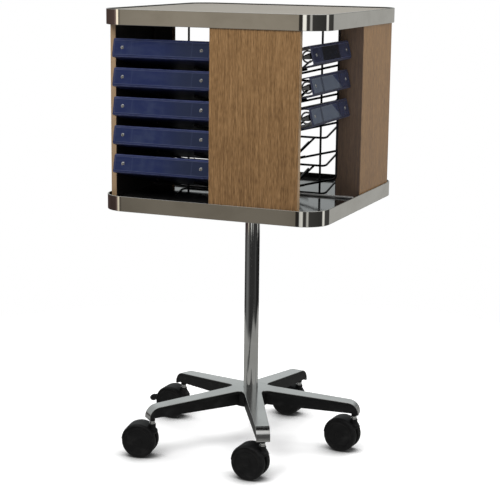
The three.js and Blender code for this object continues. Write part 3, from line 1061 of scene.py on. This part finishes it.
@dataclass(frozen=True)
class Binder:
    """Ring binder on one shelf.

    Its local axes start in the middle of the spine: depth inwards, height and length.
    """

    rack: WireRack
    level: int
    vinyl: Vinyl
    label: PocketFilm
    length: float = 287.0
    depth: float = 255.0
    thickness: float = 51.0
    board: float = 3.0
    fold: float = 4.5
    edge_ease: float = 1.5
    end_ease: float = 1.2
    hinge_offset: float = 9.0
    hinge_pitch: float = 7.0
    hinge_depth: float = 1.15
    hinge_widths: tuple[float, float] = (1.7, 1.5)
    hinge_second: float = 0.8
    film_half: tuple[float, float] = (20.0, 140.0)
    film_lift: float = 0.55
    film_dip: float = 0.25
    film_sink: float = 0.15
    weld_width: float = 2.0
    rivet_along: float = 115.0
    rivet_segments: int = 28
    ring_along: float = 118.0
    ring_depth: float = 22.0
    ring_radius: float = 14.5
    ring_wire: float = 2.3
    plate_half: tuple[float, float] = (10.0, 134.0)
    plate_seat: float = 3.3
    plate_arch: float = 5.5
    plate_ease: float = 3.0
    lever_line: Profile = ((5.0, 120.0), (7.5, 134.0), (27.0, 139.0))
    lever_bend: float = 6.0
    lever_half: float = 8.0
    lever_wall: float = 2.0

    def place(self) -> Place:
        """Local axes: inwards along the slope, up square to it, and along the spine.

        Returns:
            The place.
        """
        rack, half = self.rack, self.thickness / 2
        c, s = math.cos(rack.tilt), math.sin(rack.tilt)
        middle = (rack.middle, half * s - rack.edge, half * c + rack.rest(self.level, rack.edge))
        return Place(middle, ((0, c, -s), (0, s, c), (1, 0, 0))).then(rack.face.place)

    def cover(self) -> Surface:
        """The cover's middle line round the spine, carried along the spine as a wall.

        The wall is the board's thickness, thinner in two hinge grooves on each side, and falls to
        nothing in a quarter round at every free edge.

        Returns:
            The cover, with distances along the spine and round the cover for its finish.
        """
        inner, side = self.board / 2, (self.thickness - self.board) / 2
        corners = [(self.depth, -side), (inner, -side), (inner, side), (self.depth, side)]
        line, tangent = bent_path(corners, self.fold, FOLD_STEPS)
        reach = lengths(line)
        middle, hinge = reach[-1] / 2, self.thickness / 2 + self.hinge_offset
        start, spine = middle - hinge - 8, middle - 15
        off = centred((0, 1.5, 6), (1.5, 8, 2), (8, start, 8), (start, spine, 30), (spine, middle, 4))
        spot, heading = (resampled(off + middle, reach, pairs) for pairs in (line, tangent))
        heading = unit(heading)
        past = np.abs(off) - hinge
        first, second = self.hinge_widths
        further = np.exp(-((past - self.hinge_pitch) / second) ** 2)
        groove = np.exp(-(past / first) ** 2) + self.hinge_second * further
        wall = (self.board - self.hinge_depth * groove) * rounded(to_ends(off), self.edge_ease)
        ease = self.end_ease
        along = centred((0, ease, 5), (ease, 5, 1), (5, self.length / 2, 10))[:, None]
        return Surface(self.place()).shell(
            grid(spot[:, 0], spot[:, 1], along), grid(heading[:, 1], -heading[:, 0], 0.0),
            wall * rounded(to_ends(along), ease), grid(along, off, 0.0) * MM)

    def pocket(self) -> Surface:
        """A thin raised film on the spine: a rectangle whose height is a quarter round at its rim.

        Returns:
            The film, with distances to its edge, along the spine and across it for its finish.
        """
        width, reach = self.film_half
        across = centred((0, 1, 4), (1, 3, 3), (3, width, 4))
        along = centred((0, 1, 4), (1, 3, 3), (3, reach, 14))[:, None]
        rim = np.minimum(to_ends(across), to_ends(along))
        edge = rounded(rim, 1.0)
        lifted = self.film_lift * edge - self.film_dip * rounded(rim - self.weld_width, 1.6)
        lie = grid(rim, along, across) * MM
        made = Surface(self.place()).sheet(grid(-lifted, across, along), lie=lie)
        return made.sheet(grid(self.film_sink * edge, across, along)[:, ::-1], lie=lie[:, ::-1])

    def rivets(self) -> Surface:
        """Two domed heads on the spine: a washer rim under a shallow dome.

        Returns:
            The heads.
        """
        made = Surface(self.place())
        for along in (-self.rivet_along, self.rivet_along):
            head = Place((0, 0, along), ((0, 1, 0), (0, 0, 1), (-1, 0, 0)))
            made.turned(RIVET_PROFILE, self.rivet_segments, head)
        return made

    def rings(self) -> Surface:
        """Three round rings in planes square to the spine: a circle carried round a larger one.

        Returns:
            The rings.
        """
        made = Surface(self.place())
        turn = np.linspace(0, 2 * np.pi, 41)[:, None]
        tube = circle(10)
        radius = self.ring_radius + self.ring_wire * np.cos(tube)
        inwards, up = self.ring_depth - radius * np.cos(turn), radius * np.sin(turn)
        for along in (-self.ring_along, 0.0, self.ring_along):
            made.sheet(grid(inwards, up, along + self.ring_wire * np.sin(tube)), wrap=True)
        return made

    def plate(self) -> Surface:
        """Arched plate inside the spine that holds the rings, with a lever at each end.

        Its height is a parabola across, and falls to nothing in a quarter round at both ends.

        Returns:
            The plate and its levers.
        """
        side, reach = self.plate_half
        across = np.linspace(-side, side, 13)
        along = centred((0, self.plate_ease, 5), (self.plate_ease, reach, 10))[:, None]
        arch = self.plate_arch * (1 - (across / side) ** 2) * rounded(to_ends(along), self.plate_ease)
        made = Surface(self.place()).sheet(grid(self.plate_seat + arch, across, along))
        made.sheet(grid(self.plate_seat, across, along)[:, ::-1])
        for hand in (-1, 1):
            self.lever(made, hand)
        return made

    def lever(self, made: Surface, hand: int) -> None:
        """Adds a tongue that curls inwards at an end of the plate: a wall along a bent line.

        Args:
            made: the plate.
            hand: -1 or 1 for the end.
        """
        line, tangent = bent_path(self.lever_line, self.lever_bend, BEND_STEPS)
        across = np.linspace(-self.lever_half, self.lever_half, 9)
        to_root, to_tip = (np.linalg.norm(line - end, axis=1)[:, None] for end in line[[0, -1]])
        width = 0.55 + 0.45 * rounded(to_tip, self.lever_half)
        middle = grid(line[:, :1], across * width, hand * line[:, 1:])
        thick = rounded(to_ends(across), 1.0) * rounded(np.minimum(to_tip, to_root), 1.0)
        made.shell(middle, upright(tangent) * (1, 1, hand), self.lever_wall * thick)

    def build(self) -> None:
        """Makes the cover and everything that is fixed to it."""
        body = f"binder_{self.rack.face.label}_{self.level}"
        self.cover().piece(f"{body}_cover", self.vinyl, body, "binder_vinyl", [body])
        self.pocket().piece(f"{body}_pocket", self.label, body, "binder_vinyl")
        self.rivets().piece(f"{body}_rivets", BRIGHT_PLATE, body, "column_chrome")
        self.rings().piece(f"{body}_rings", RING_ZINC_AND_HIGHLIGHT, body, "column_chrome")
        self.plate().piece(f"{body}_plate", RING_PLATE_SHADE, body, "column_chrome")


TUBE = 20.65
COLUMN_PROFILE = (
    (18.45, 161.8), (20.15, 161.8), (TUBE, 162.3), (TUBE, 300), (TUBE, 500), (TUBE, 689.5),
    (20.15, 690), (18.45, 690), (18.45, 161.8),
)
HEAD_PROFILE = (
    (AXIS, 690.3), (21.05, 690.3), (21.05, 666), (26.2, 666), (27, 666.8), (29, 686), (32, 687.6),
    (78.8, 691.9), (80, 693), (80, 698), (79, 699), (72, 699), (72, 706.8), (71.2, 707.6),
    (52.8, 707.6), (52, 706.8), (52, 699), (AXIS, 699),
)
TURNTABLE_PROFILE = (
    (AXIS, 708), (91.5, 708), (93.5, 708.7), (95, 710.5), (95, 716.6), (94.4, 717.2), (AXIS, 717.2),
)


@dataclass(frozen=True)
class Stand:
    """Column, turntable and five-arm base."""

    tip: float = 317.0
    tip_round: float = 34.0
    tip_top: float = 148.5
    tip_foot: float = 111.5
    hub_top: float = 169.5
    hub: float = 53.0
    root_width: float = 50.0
    tip_width: float = 38.0
    join: float = 43.0
    join_blend: float = 16.0
    cap_wall: float = 1.6
    rim_wall: float = 6.3
    rim_gap: float = 0.1
    rim_inset: float = 0.5
    edge_ease: float = 1.3
    segments: int = 96

    def arm_line(self, inset: float) -> tuple[Array, Array]:
        """An arm's upper line in side view, from the column to the tip.

        Args:
            inset: how far the line lies below the arm's face.

        Returns:
            The points, each a distance out and a height, and the unit tangents.
        """
        bend = self.tip - self.tip_round
        slope = math.atan2(self.hub_top - self.tip_top, bend - self.hub)
        level = self.hub_top - inset
        angle = spread((np.pi / 2 - slope * 0.5, 0.06, 15), (0.06, 0, 4))
        centre = np.array([bend, self.tip_top - self.tip_round])
        nose = centre + (self.tip_round - inset) * grid(np.cos(angle), np.sin(angle))
        collar = spread((TUBE + 0.4, TUBE + 2, 4), (TUBE + 2, self.join - 1, 6))
        hub = np.concatenate([collar, spread((self.join + 0.5, self.hub, 5))])
        shoulder = np.array([self.hub, level])
        down = shoulder + np.linspace(0, 1, 24)[1:-1, None] * (nose[0] - shoulder)
        drop = grid(self.tip - inset, np.linspace(centre[1], self.tip_foot, 4)[1:])
        line = np.concatenate([grid(hub, level), down, nose, drop])
        return line, unit(np.gradient(line, axis=0))

    def star(self, depth: float, wall: float, narrow: float = 0.0) -> Surface:
        """Five equal sectors, each a strip along its arm and a share of the hub.

        Across the strip a point runs from -1 to 1 times a half width that follows the sector's
        border near the column and the tapering arm further out. Near the hole the strip bends
        into rings.

        Args:
            depth: how far its upper face lies below the top of the arms.
            wall: its thickness.
            narrow: what it lacks of the arms' width on each side.

        Returns:
            The surface.
        """
        line, tangent = self.arm_line(depth + wall / 2)
        out, height = line[:, :1], line[:, 1:]
        share = np.clip((out - self.hub) / (self.tip - self.hub), 0, 1)
        arm = (self.root_width + share * (self.tip_width - self.root_width)) / 2 - narrow
        sector = np.pi / ARMS
        rest = (1 - np.clip((out - self.join) / self.join_blend, 0, 1)) ** 2
        half = out * math.tan(sector) * rest + arm * (1 - rest)
        side = centred((0, 0.06, 4), (0.06, 1, 8))
        straightness = np.clip((out - TUBE) / (self.join - TUBE), 0, 1)[..., None]
        ringed = grid(out * np.cos(side * sector), out * np.sin(side * sector))
        plan = ringed * (1 - straightness) + grid(out, side * half) * straightness
        middle = grid(plan[..., 0], plan[..., 1], height)
        ease = min(self.edge_ease, wall / 2)
        rim = np.where(out > self.join + 0.1, (1 - np.abs(side)) * half, ease)
        thick = wall * rounded(rim, ease) * rounded(to_ends(lengths(line)), ease)[:, None]
        made = Surface()
        for turn in ARM_TURNS:
            made.place = Place.turned(turn)
            made.shell(middle, upright(tangent), thick)
        return made

    def build(self) -> None:
        """Makes the tube, the turntable and the cap and dresses the core."""
        Surface().turned(COLUMN_PROFILE, self.segments).piece(
            "column_tube", CHROME, "base", "column_chrome", ["column"])
        Surface().turned(HEAD_PROFILE, self.segments).piece(
            "column_head_turned", TURNTABLE_ZINC, "base", "turntable_steel", ["column_head"])
        Surface().turned(TURNTABLE_PROFILE, self.segments).piece(
            "turntable_plate_turned", TURNTABLE_ZINC, "carousel", "turntable_steel", ["turntable_plate"])
        self.star(0.0, self.cap_wall).piece(
            "base_cap_pressed", CAP_POLISH, "base", "base_polish", ["base_cap"])
        self.star(self.cap_wall + self.rim_gap, self.rim_wall, self.rim_inset).piece(
            "base_core_rim", BASE_MOULDING, "base", "caster_black")
        dress("base_core", BASE_MOULDING)


WHEEL_HALF = (
    (AXIS, 26.4), (9, 26.4), (10.6, 26.1), (11.4, 25.2), (13.5, 24.4), (20, 24.6), (33.5, 25.4),
    (35, 25.7), (35.8, 26.8), (37.4, 27.65), (39.5, 28), (42, 27.8), (44.6, 26.7), (46.6, 25),
    (47.6, 22.8), (48, 20.4), (48, 19.2), (47.2, 18.8), (47.2, 17.6), (48, 17.2), (48, 10),
    (47.6, 8.0), (46.6, 6.8), (45.2, 6.2), (5.5, 6.2),
)
EYE_PROFILE = (
    (6.3, 4.1), (6.7, 4.5), (13.4, 4.5), (14, 3.9), (14, -3.9), (13.4, -4.5), (6.7, -4.5),
    (6.3, -4.1), (6.3, 4.1),
)
BOSS_PROFILE = (
    (AXIS, 74), (14.8, 74),
    *((15 - 5 * math.sin(a), 85.5 - 6 * math.cos(a)) for a in np.linspace(0, np.pi / 2, 6)),
    (10, 96), (9.2, 97), (AXIS, 97),
)
STEM_PROFILE = (
    (AXIS, 96.8), (8.2, 96.8), (8.6, 97.2), (8.6, 99.6), (7.4, 100.4), (7.4, 104.4), (6.9, 105.2),
    (5.5, 105.2), (5.5, 117.5), (5, 118), (AXIS, 118),
)


@dataclass(frozen=True)
class Caster:
    """Twin-wheel caster under one arm, heading along its local X."""

    number: int
    heading: float
    braked: bool = False
    trail: float = 35.0
    wheel: float = 48.0
    wheel_segments: int = 80
    pivot: float = 302.5
    guard_turn: float = 81.0
    hood_turn: float = 75.0
    hood_radius: float = 50.0
    hood_gap: float = 0.9
    hood_crown: float = 20.0
    hood_bow: float = 8.7
    hood_lean: float = 62.0
    hood_edge: float = 0.7
    hood_swell: float = 1.5
    hood_taper: float = 44.0
    web_turn: float = 69.0
    web_wall: float = 9.0
    web_reach: tuple[float, float] = (8.0, 50.3)
    ear_line: Profile = ((85.5, 64.5), (91.2, 52.0))
    ear_past: float = 1.5
    ear_half: float = 4.6
    ear_side: float = 12.0
    ear_wall: float = 4.0
    pedal_line: Profile = ((86.6, 53.4), (97.0, 49.6), (112.5, 50.6))
    pedal_bend: float = 8.0
    pedal_half: float = 9.5
    pedal_wall: Profile = ((0.0, 7.0), (5.0, 7.4), (15.0, 17.0))
    rib_start: float = 14.0
    rib_height: float = 0.05
    rib_rate: float = 2.6
    segments: int = 40

    def place(self) -> Place:
        """Under the arm's end, turned to its heading."""
        arm = math.radians(ARM_TURNS[self.number - 1])
        return Place.turned(self.heading, (self.pivot * math.cos(arm), self.pivot * math.sin(arm), 0))

    def axle(self) -> Place:
        """Axes on the axle in the caster's own place: Z runs along it."""
        return Place((self.trail, 0, self.wheel), ((1, 0, 0), (0, 0, 1), (0, -1, 0)))

    def wheels(self) -> Surface:
        """Two turned wheels: a dished face with a raised hub and rings, and a grooved tread."""
        other = [(radius, -across) for radius, across in reversed(WHEEL_HALF)]
        return Surface(self.place()).turned([*WHEEL_HALF, *other], self.wheel_segments, self.axle())

    def fender(self, made: Surface) -> None:
        """Adds a hood over the wheels: a flat crown with round shoulders, carried along an arc.

        Across the hood a point follows the wheels' round edges at a small gap, and the wall is laid
        outwards from there. It thins towards both ends of the arc.

        Args:
            made: the housing.
        """
        turn = self.guard_turn + centred((0, 2.5, 6), (2.5, self.hood_turn, 23))[:, None]
        angle, reach = np.radians(turn), np.radians(to_ends(turn)) * self.hood_radius
        swell = np.sin(np.clip(reach / self.hood_taper, 0, 1) * np.pi / 2) ** 2
        wall = self.hood_edge + self.hood_swell * swell
        shoulder = spread((0, 54, 12), (54, self.hood_lean, 6))
        flat = np.linspace(0, self.hood_crown, 5, endpoint=False)
        lean = np.radians(np.concatenate([np.zeros(len(flat)), shoulder]))
        across = np.concatenate([flat, np.full(len(shoulder), self.hood_crown)])
        lean, across = (np.concatenate([-half[:0:-1], half]) for half in (lean, across))
        out = self.hood_bow + wall / 2
        radius = self.wheel + self.hood_gap - self.hood_bow + out * np.cos(lean)
        middle = grid(
            self.trail + radius * np.cos(angle), across + out * np.sin(lean),
            self.wheel + radius * np.sin(angle))
        normal = grid(np.cos(lean) * np.cos(angle), np.sin(lean), np.cos(lean) * np.sin(angle))
        edge = to_ends(lean) * self.hood_bow
        made.shell(middle, normal, wall * rounded(edge, 0.8) * rounded(reach, 1.0))

    def web(self, made: Surface) -> None:
        """Adds a flat plate between the wheels: a sector from the axle's eye out to the fender.

        Args:
            made: the housing.
        """
        turn = np.radians(self.guard_turn + centred((0, 3, 4), (3, self.web_turn, 15)))[:, None]
        out = spread((*self.web_reach, 8))
        middle = grid(self.trail + out * np.cos(turn), 0.0, self.wheel + out * np.sin(turn))
        rim = to_ends(turn) * np.maximum(out, 14)
        made.shell(middle, SIDEWAYS, self.web_wall * rounded(rim, 1.2))
        made.turned(EYE_PROFILE, self.segments, self.axle())

    def ear(self, made: Surface, side: float) -> None:
        """Adds a lug from the fender to the pedal's pin: a wall in the caster's side plane.

        Args:
            made: the housing.
            side: how far it stands from the middle.
        """
        run = np.linspace(0, 1, 14)[:, None]
        across = np.linspace(-1, 1, 9)
        start, end = np.array(self.ear_line)
        ahead = unit(end - start)
        width = self.ear_half * np.sqrt(1 - np.clip((run - 0.68) / 0.32, 0, 1) ** 2)
        centre = start + run * (end + self.ear_past * ahead - start)
        offset = across * width
        middle = grid(centre[:, :1] - offset * ahead[1], side, centre[:, 1:] + offset * ahead[0])
        rim = np.minimum((1 - np.abs(across)) * width, (1 - run) * 14)
        made.shell(middle, SIDEWAYS, self.ear_wall * rounded(rim, 0.9))

    def housing(self) -> Surface:
        """Fender, web, stem boss and, on the braked caster, two ears for the pedal.

        Returns:
            The housing.
        """
        made = Surface(self.place())
        self.fender(made)
        self.web(made)
        made.turned(BOSS_PROFILE, self.segments)
        if self.braked:
            for side in (-self.ear_side, self.ear_side):
                self.ear(made, side)
        return made

    def pedal(self) -> Surface:
        """A ribbed paddle behind the fender: a bent line with a width and a thickness, round at its rim.

        Returns:
            The pedal.
        """
        line, tangent = bent_path(self.pedal_line, self.pedal_bend, FOLD_STEPS)
        reach = lengths(line)
        total = reach[-1]
        rise = spread((0, 4, 7), (4, total - 7, 10), (total - 7, total, 10))
        spot, heading = (resampled(rise, reach, pairs) for pairs in (line, tangent))
        across = centred((0, 2.5, 6), (2.5, self.pedal_half, 4))
        ribs = 1 + self.rib_height * np.sin(rise * self.rib_rate) * (rise > self.rib_start)
        body = np.interp(rise, *np.transpose(self.pedal_wall)) * ribs
        ends = rounded(rise, 3.6) * rounded(total - rise, 7.0)
        thick = (body * ends)[:, None] * rounded(to_ends(across), 2.4)
        middle = grid(spot[:, :1], across, spot[:, 1:])
        return Surface(self.place()).shell(middle, upright(heading), thick)

    def build(self) -> None:
        """Makes the housing, the bright stem, the wheels and the pedal."""
        number, body = self.number, f"caster_{self.number}"
        housing, wheels = f"caster_housing_{number}", f"caster_wheels_{number}"
        self.housing().piece(f"{housing}_moulded", CASTER_MOULDING, body, "caster_black", [housing])
        Surface(self.place()).turned(STEM_PROFILE, self.segments).piece(
            f"caster_stem_{number}", BRIGHT_PLATE, body, "column_chrome")
        self.wheels().piece(
            f"{wheels}_turned", WHEEL_MOULDING, f"wheels_{number}", "wheel_black", [wheels])
        if self.braked:
            self.pedal().piece(
                "brake_pedal_moulded", CASTER_MOULDING, "brake_pedal", "caster_black", ["brake_pedal"])


# Studio


def aimed(spot: Array, back: Array, roll: float) -> Matrix:
    """A lamp's or camera's place.

    Args:
        spot: where it stands, in metres.
        back: unit direction from what it looks at.
        roll: turn about its own view, in degrees.

    Returns:
        The matrix, with X to the right and Y up in its view.
    """
    right = unit(np.cross([0, 0, 1], back))
    up = np.cross(back, right)
    c, s = math.cos(math.radians(roll)), math.sin(math.radians(roll))
    made = np.eye(4)
    made[:3] = np.stack([c * right + s * up, c * up - s * right, back, spot], axis=1)
    return Matrix(made.tolist())


@dataclass(frozen=True)
class Lamp:
    """A soft square lamp that looks at the middle of the object."""

    name: str
    spot: Point
    size: float
    watts: float
    aim: Point = (0, 0, 0.75)

    def build(self) -> None:
        """Adds the lamp, which lights without showing as a square in bright metal."""
        light = bpy.data.lights.new(self.name, "AREA")
        light.size = self.size
        light.energy = self.watts
        made = shown(self.name, light)
        spot = np.array(self.spot)
        made.matrix_world = aimed(spot, unit(spot - np.array(self.aim)), 0.0)
        made.visible_glossy = False


LAMPS = (
    Lamp("key", (-0.7, -2.5, 3.0), 1.6, 84.0),
    Lamp("side", (3.5, 0.4, 2.1), 1.6, 62.0),
    Lamp("top", (1.1, 1.3, 3.2), 1.2, 36.0),
)


Tint = Callable[[float], Colour]


def cool(level: float) -> Colour:
    """A grey that is a little bluish where it is bright, as a window lights it."""
    return (1 - 0.08 * level) * level, level, level, 1


def tinted(red: float, green: float, blue: float) -> Tint:
    """A tint that takes a share of the level for each primary."""
    return lambda level: (red * level, green * level, blue * level, 1)


def ring(tint: Tint, *stops: tuple[float, float]) -> Stops:
    """Part of a ramp over a full turn from the rear: angles to the right of the front and levels."""
    return [((turn + 180) / 360, tint(level)) for turn, level in stops]


RED_WALL = tinted(1.25, 0.86, 0.80)
WARM_WALL = tinted(1.10, 0.99, 0.83)
PALE_WALL = tinted(1.0, 1.0, 0.97)
# What bright metal mirrors: the room stands at eye level, the ceiling above it, and the carpet
# lies round a pale pool of light on the floor whose radius is given in units of two metres.
ROOM = [
    *ring(PALE_WALL, (-180, 0.42), (-166, 0.40)),
    *ring(RED_WALL, (-150, 0.05), (-60, 0.08), (-53, 0.24)),
    *ring(
        WARM_WALL, (-49.5, 0.3), (-47.5, 1.3), (-41, 1.3), (-38, 0.25), (-33, 0.13), (-30, 0.19),
        (-27, 0.29), (-20.5, 0.30), (-18.5, 0.04)),
    *ring(
        PALE_WALL, (-4, 0.035), (-1.5, 1.15), (11, 1.15), (14.5, 0.05), (26, 0.05), (30, 0.5),
        (35, 0.55), (39, 0.05), (102, 0.035), (105, 0.8), (114, 0.85), (118, 0.06), (152, 0.05),
        (157, 0.42), (166, 0.44), (180, 0.42)),
]
CEILING_GLOW = ring(
    cool, (-180, 0.62), (-148, 0.62), (-122, 0.48), (-60, 0.40), (-40, 0.09), (40, 0.09), (60, 0.40),
    (120, 0.40), (144, 0.05), (169, 0.06), (180, 0.62),
)
CARPET = ring(
    cool, (-180, 0.015), (-110, 0.02), (-85, 0.07), (-60, 0.15), (-42, 0.15), (-25, 0.08), (-8, 0.03),
    (60, 0.03), (80, 0.06), (95, 0.02), (130, 0.015), (180, 0.015),
)
POOL = ring(
    grey, (-180, 0.80), (-96, 0.72), (-68, 0.65), (-25, 0.58), (10, 0.58), (28, 0.60), (45, 0.72),
    (63, 0.72), (82, 0.65), (104, 0.65), (129, 0.80), (180, 0.80),
)


@dataclass(frozen=True)
class Studio:
    """Camera, lamps, pale floor and the surroundings that bright metal mirrors."""

    azimuth: float = 22.67
    elevation: float = 11.73
    roll: float = 0.677
    distance: float = 4.0615
    aim_height: float = 0.5723
    aim_right: float = -0.0066
    lens: float = 103.30
    sensor: float = 36.0
    ambient: float = 0.40
    floor_radius: float = 3400.0
    floor_lift: float = 0.54
    floor_fade: tuple[float, float] = (1.30, 1.76)
    carpet_fade: tuple[float, float] = (3.20, 3.35)
    contact_reach: float = 0.16
    contact_fade: tuple[float, float] = (0.30, 0.98)
    pool: Colour = (0.31, 0.31, 0.30, 1)
    pool_fade: tuple[float, float] = (-0.06, 0.14)

    def camera(self) -> None:
        """Adds the camera at the photograph's angle and makes it the scene's."""
        turn, lift = math.radians(self.azimuth), math.radians(self.elevation)
        level = math.cos(lift)
        back = np.array([math.sin(turn) * level, -math.cos(turn) * level, math.sin(lift)])
        aside = np.array([math.cos(turn), math.sin(turn), 0]) * self.aim_right
        lens = bpy.data.cameras.new("camera")
        lens.lens = self.lens
        lens.sensor_width = self.sensor
        made = shown("camera", lens)
        aim = aside + (0, 0, self.aim_height)
        made.matrix_world = aimed(aim + self.distance * back, back, self.roll)
        bpy.context.scene.camera = made

    @staticmethod
    def seen(graph: Graph) -> tuple[Signal, Signal]:
        """Tells rays apart.

        Args:
            graph: the graph.

        Returns:
            Marks of a camera ray, and of a mirrored or transmitted one.
        """
        path = graph.add("LightPath").outputs
        straight, glossy, through = (
            Signal(graph, path[f"Is {kind} Ray"]) for kind in ("Camera", "Glossy", "Transmission"))
        return straight, glossy.most(through)

    @staticmethod
    def heading(graph: Graph, x: Signal, y: Signal) -> Signal:
        """Direction round the object: 0 and 1 at the rear, 0.5 in front, rising to the right."""
        return graph.math("ARCTAN2", x, y * -1) / (2 * math.pi) + 0.5

    def floor(self) -> None:
        """A pale disc that keeps the object's shadow; in mirrors a lit pool on a dark carpet."""
        angle = circle(96)
        disc = grid(np.cos(angle), np.sin(angle), 0.0) * self.floor_radius * MM
        mesh = bpy.data.meshes.new("floor")
        mesh.from_pydata(disc.tolist(), [], [range(len(angle))])
        made = shown("floor", mesh)
        paper = bpy.data.materials.new("floor_paper")
        paper.use_nodes = True
        graph = Graph(paper.node_tree)
        x, y, _ = graph.split(graph.place)
        away = (x * x + y * y) ** 0.5
        straight, mirrored = self.seen(graph)
        clear = graph.out("BsdfTransparent")
        near = graph.blend(away.rise(*self.floor_fade), self.paper(graph, straight), clear)
        carpet = self.mirrored_floor(graph, x, y, away)
        image = graph.blend(away.rise(*self.carpet_fade), carpet, clear)
        graph.add("OutputMaterial", {0: graph.blend(mirrored, near, image)})
        mesh.materials.append(paper)

    def paper(self, graph: Graph, straight: Signal) -> Socket:
        """White paper that the camera sees lifted, with a painted contact shadow close under the wheels.

        Args:
            graph: the floor's graph.
            straight: the mark of a camera ray.

        Returns:
            The shader.
        """
        matt = graph.out("BsdfDiffuse", {"Color": grey(0.80)})
        lift = graph.out("Emission", {"Color": grey(1), "Strength": self.floor_lift})
        both = graph.out("AddShader", {0: matt, 1: lift})
        # painted contact shadow: a dark grey where ambient occlusion finds the object close
        contact_shadow = graph.out("BsdfDiffuse", {"Color": grey(0.12)})
        sky = graph.add("AmbientOcclusion", {"Distance": self.contact_reach}, samples=8)
        unshadowed = Signal(graph, sky.outputs["AO"]).rise(*self.contact_fade)
        return graph.blend(straight, matt, graph.blend(unshadowed, contact_shadow, both))

    def mirrored_floor(self, graph: Graph, x: Signal, y: Signal, away: Signal) -> Socket:
        """A pool of light with a seam on a dark carpet, for mirrored rays.

        Args:
            graph: the floor's graph.
            x: distance to the right.
            y: distance to the rear.
            away: distance from the middle.

        Returns:
            The shader.
        """
        heading = self.heading(graph, x, y)
        carpet = graph.ramp(heading, CARPET)
        reach, _, _ = graph.split(graph.ramp(heading, POOL))
        ahead = y * -0.81 - x * 0.59
        seam = ahead.rise(0.73, 0.77) * (1 - ahead.rise(0.89, 0.96)) * x.rise(-0.60, -0.42)
        pale = (1 - (away - reach * 2).rise(*self.pool_fade)) * (1 - seam * 0.9)
        return graph.out("BsdfPrincipled", {
            "Base Color": grey(0), "Specular IOR Level": 0.0, "Emission Strength": 1.0,
            "Emission Color": graph.mix(pale, carpet, self.pool)})

    def surroundings(self) -> None:
        """White to the camera, plain soft light on the object, and a room of strips in mirrors."""
        world = bpy.data.worlds.new("studio")
        world.use_nodes = True
        bpy.context.scene.world = world
        graph = Graph(world.node_tree)
        x, y, z = graph.split(graph.add("TexCoord").outputs["Generated"])
        heading = self.heading(graph, x, y)
        low = (z * -1).rise(0.07, 0.17) * (y * -0.7 - x * 0.7).rise(0.2, 0.7)
        dimmed = graph.mix(low * 0.42, graph.ramp(heading, ROOM), grey(0))
        walls = graph.mix(z.rise(-0.01, 0.06), dimmed, graph.ramp(heading, CEILING_GLOW))
        room = graph.mix(z.rise(0.62, 0.80), walls, grey(0.9))
        straight, mirrored = self.seen(graph)
        mirror = graph.out("Background", {"Color": room, "Strength": 1.0})
        soft = graph.out("Background", {"Color": grey(1), "Strength": self.ambient})
        white = graph.out("Background", {"Color": grey(1), "Strength": 1.0})
        lit = graph.blend(mirrored, soft, mirror)
        graph.add("OutputWorld", {0: graph.blend(straight, lit, white)})

    def build(self) -> None:
        """Sets up the whole studio."""
        bpy.context.scene.view_settings.view_transform = "Standard"
        self.camera()
        self.floor()
        self.surroundings()
        for lamp in LAMPS:
            lamp.build()


HEADINGS = (178.0, 176.0, 178.0, 178.0, 190.0)
BRAKED = 4
BINDERS = {
    Face.FRONT: (NAVY_VINYL, (CLEAR_POCKET,) * 5),
    Face.RIGHT: (SHADED_NAVY_VINYL, (DARK_LABEL, PAINTED_SHEEN_POCKET, PAINTED_SHEEN_POCKET)),
}


def main() -> None:
    """Builds the studio and then the object."""
    logging.basicConfig(level=logging.INFO, format="%(message)s")
    Studio().build()
    Drum().build()
    for face in Face:
        rack = WireRack(face)
        rack.build()
        vinyl, labels = BINDERS.get(face, (NAVY_VINYL, ()))
        for level, label in enumerate(labels, 1):
            Binder(rack, level, vinyl, label).build()
    Stand().build()
    for number, heading in enumerate(HEADINGS, 1):
        Caster(number, heading, number == BRAKED).build()


if __name__ == "__main__":
    main()
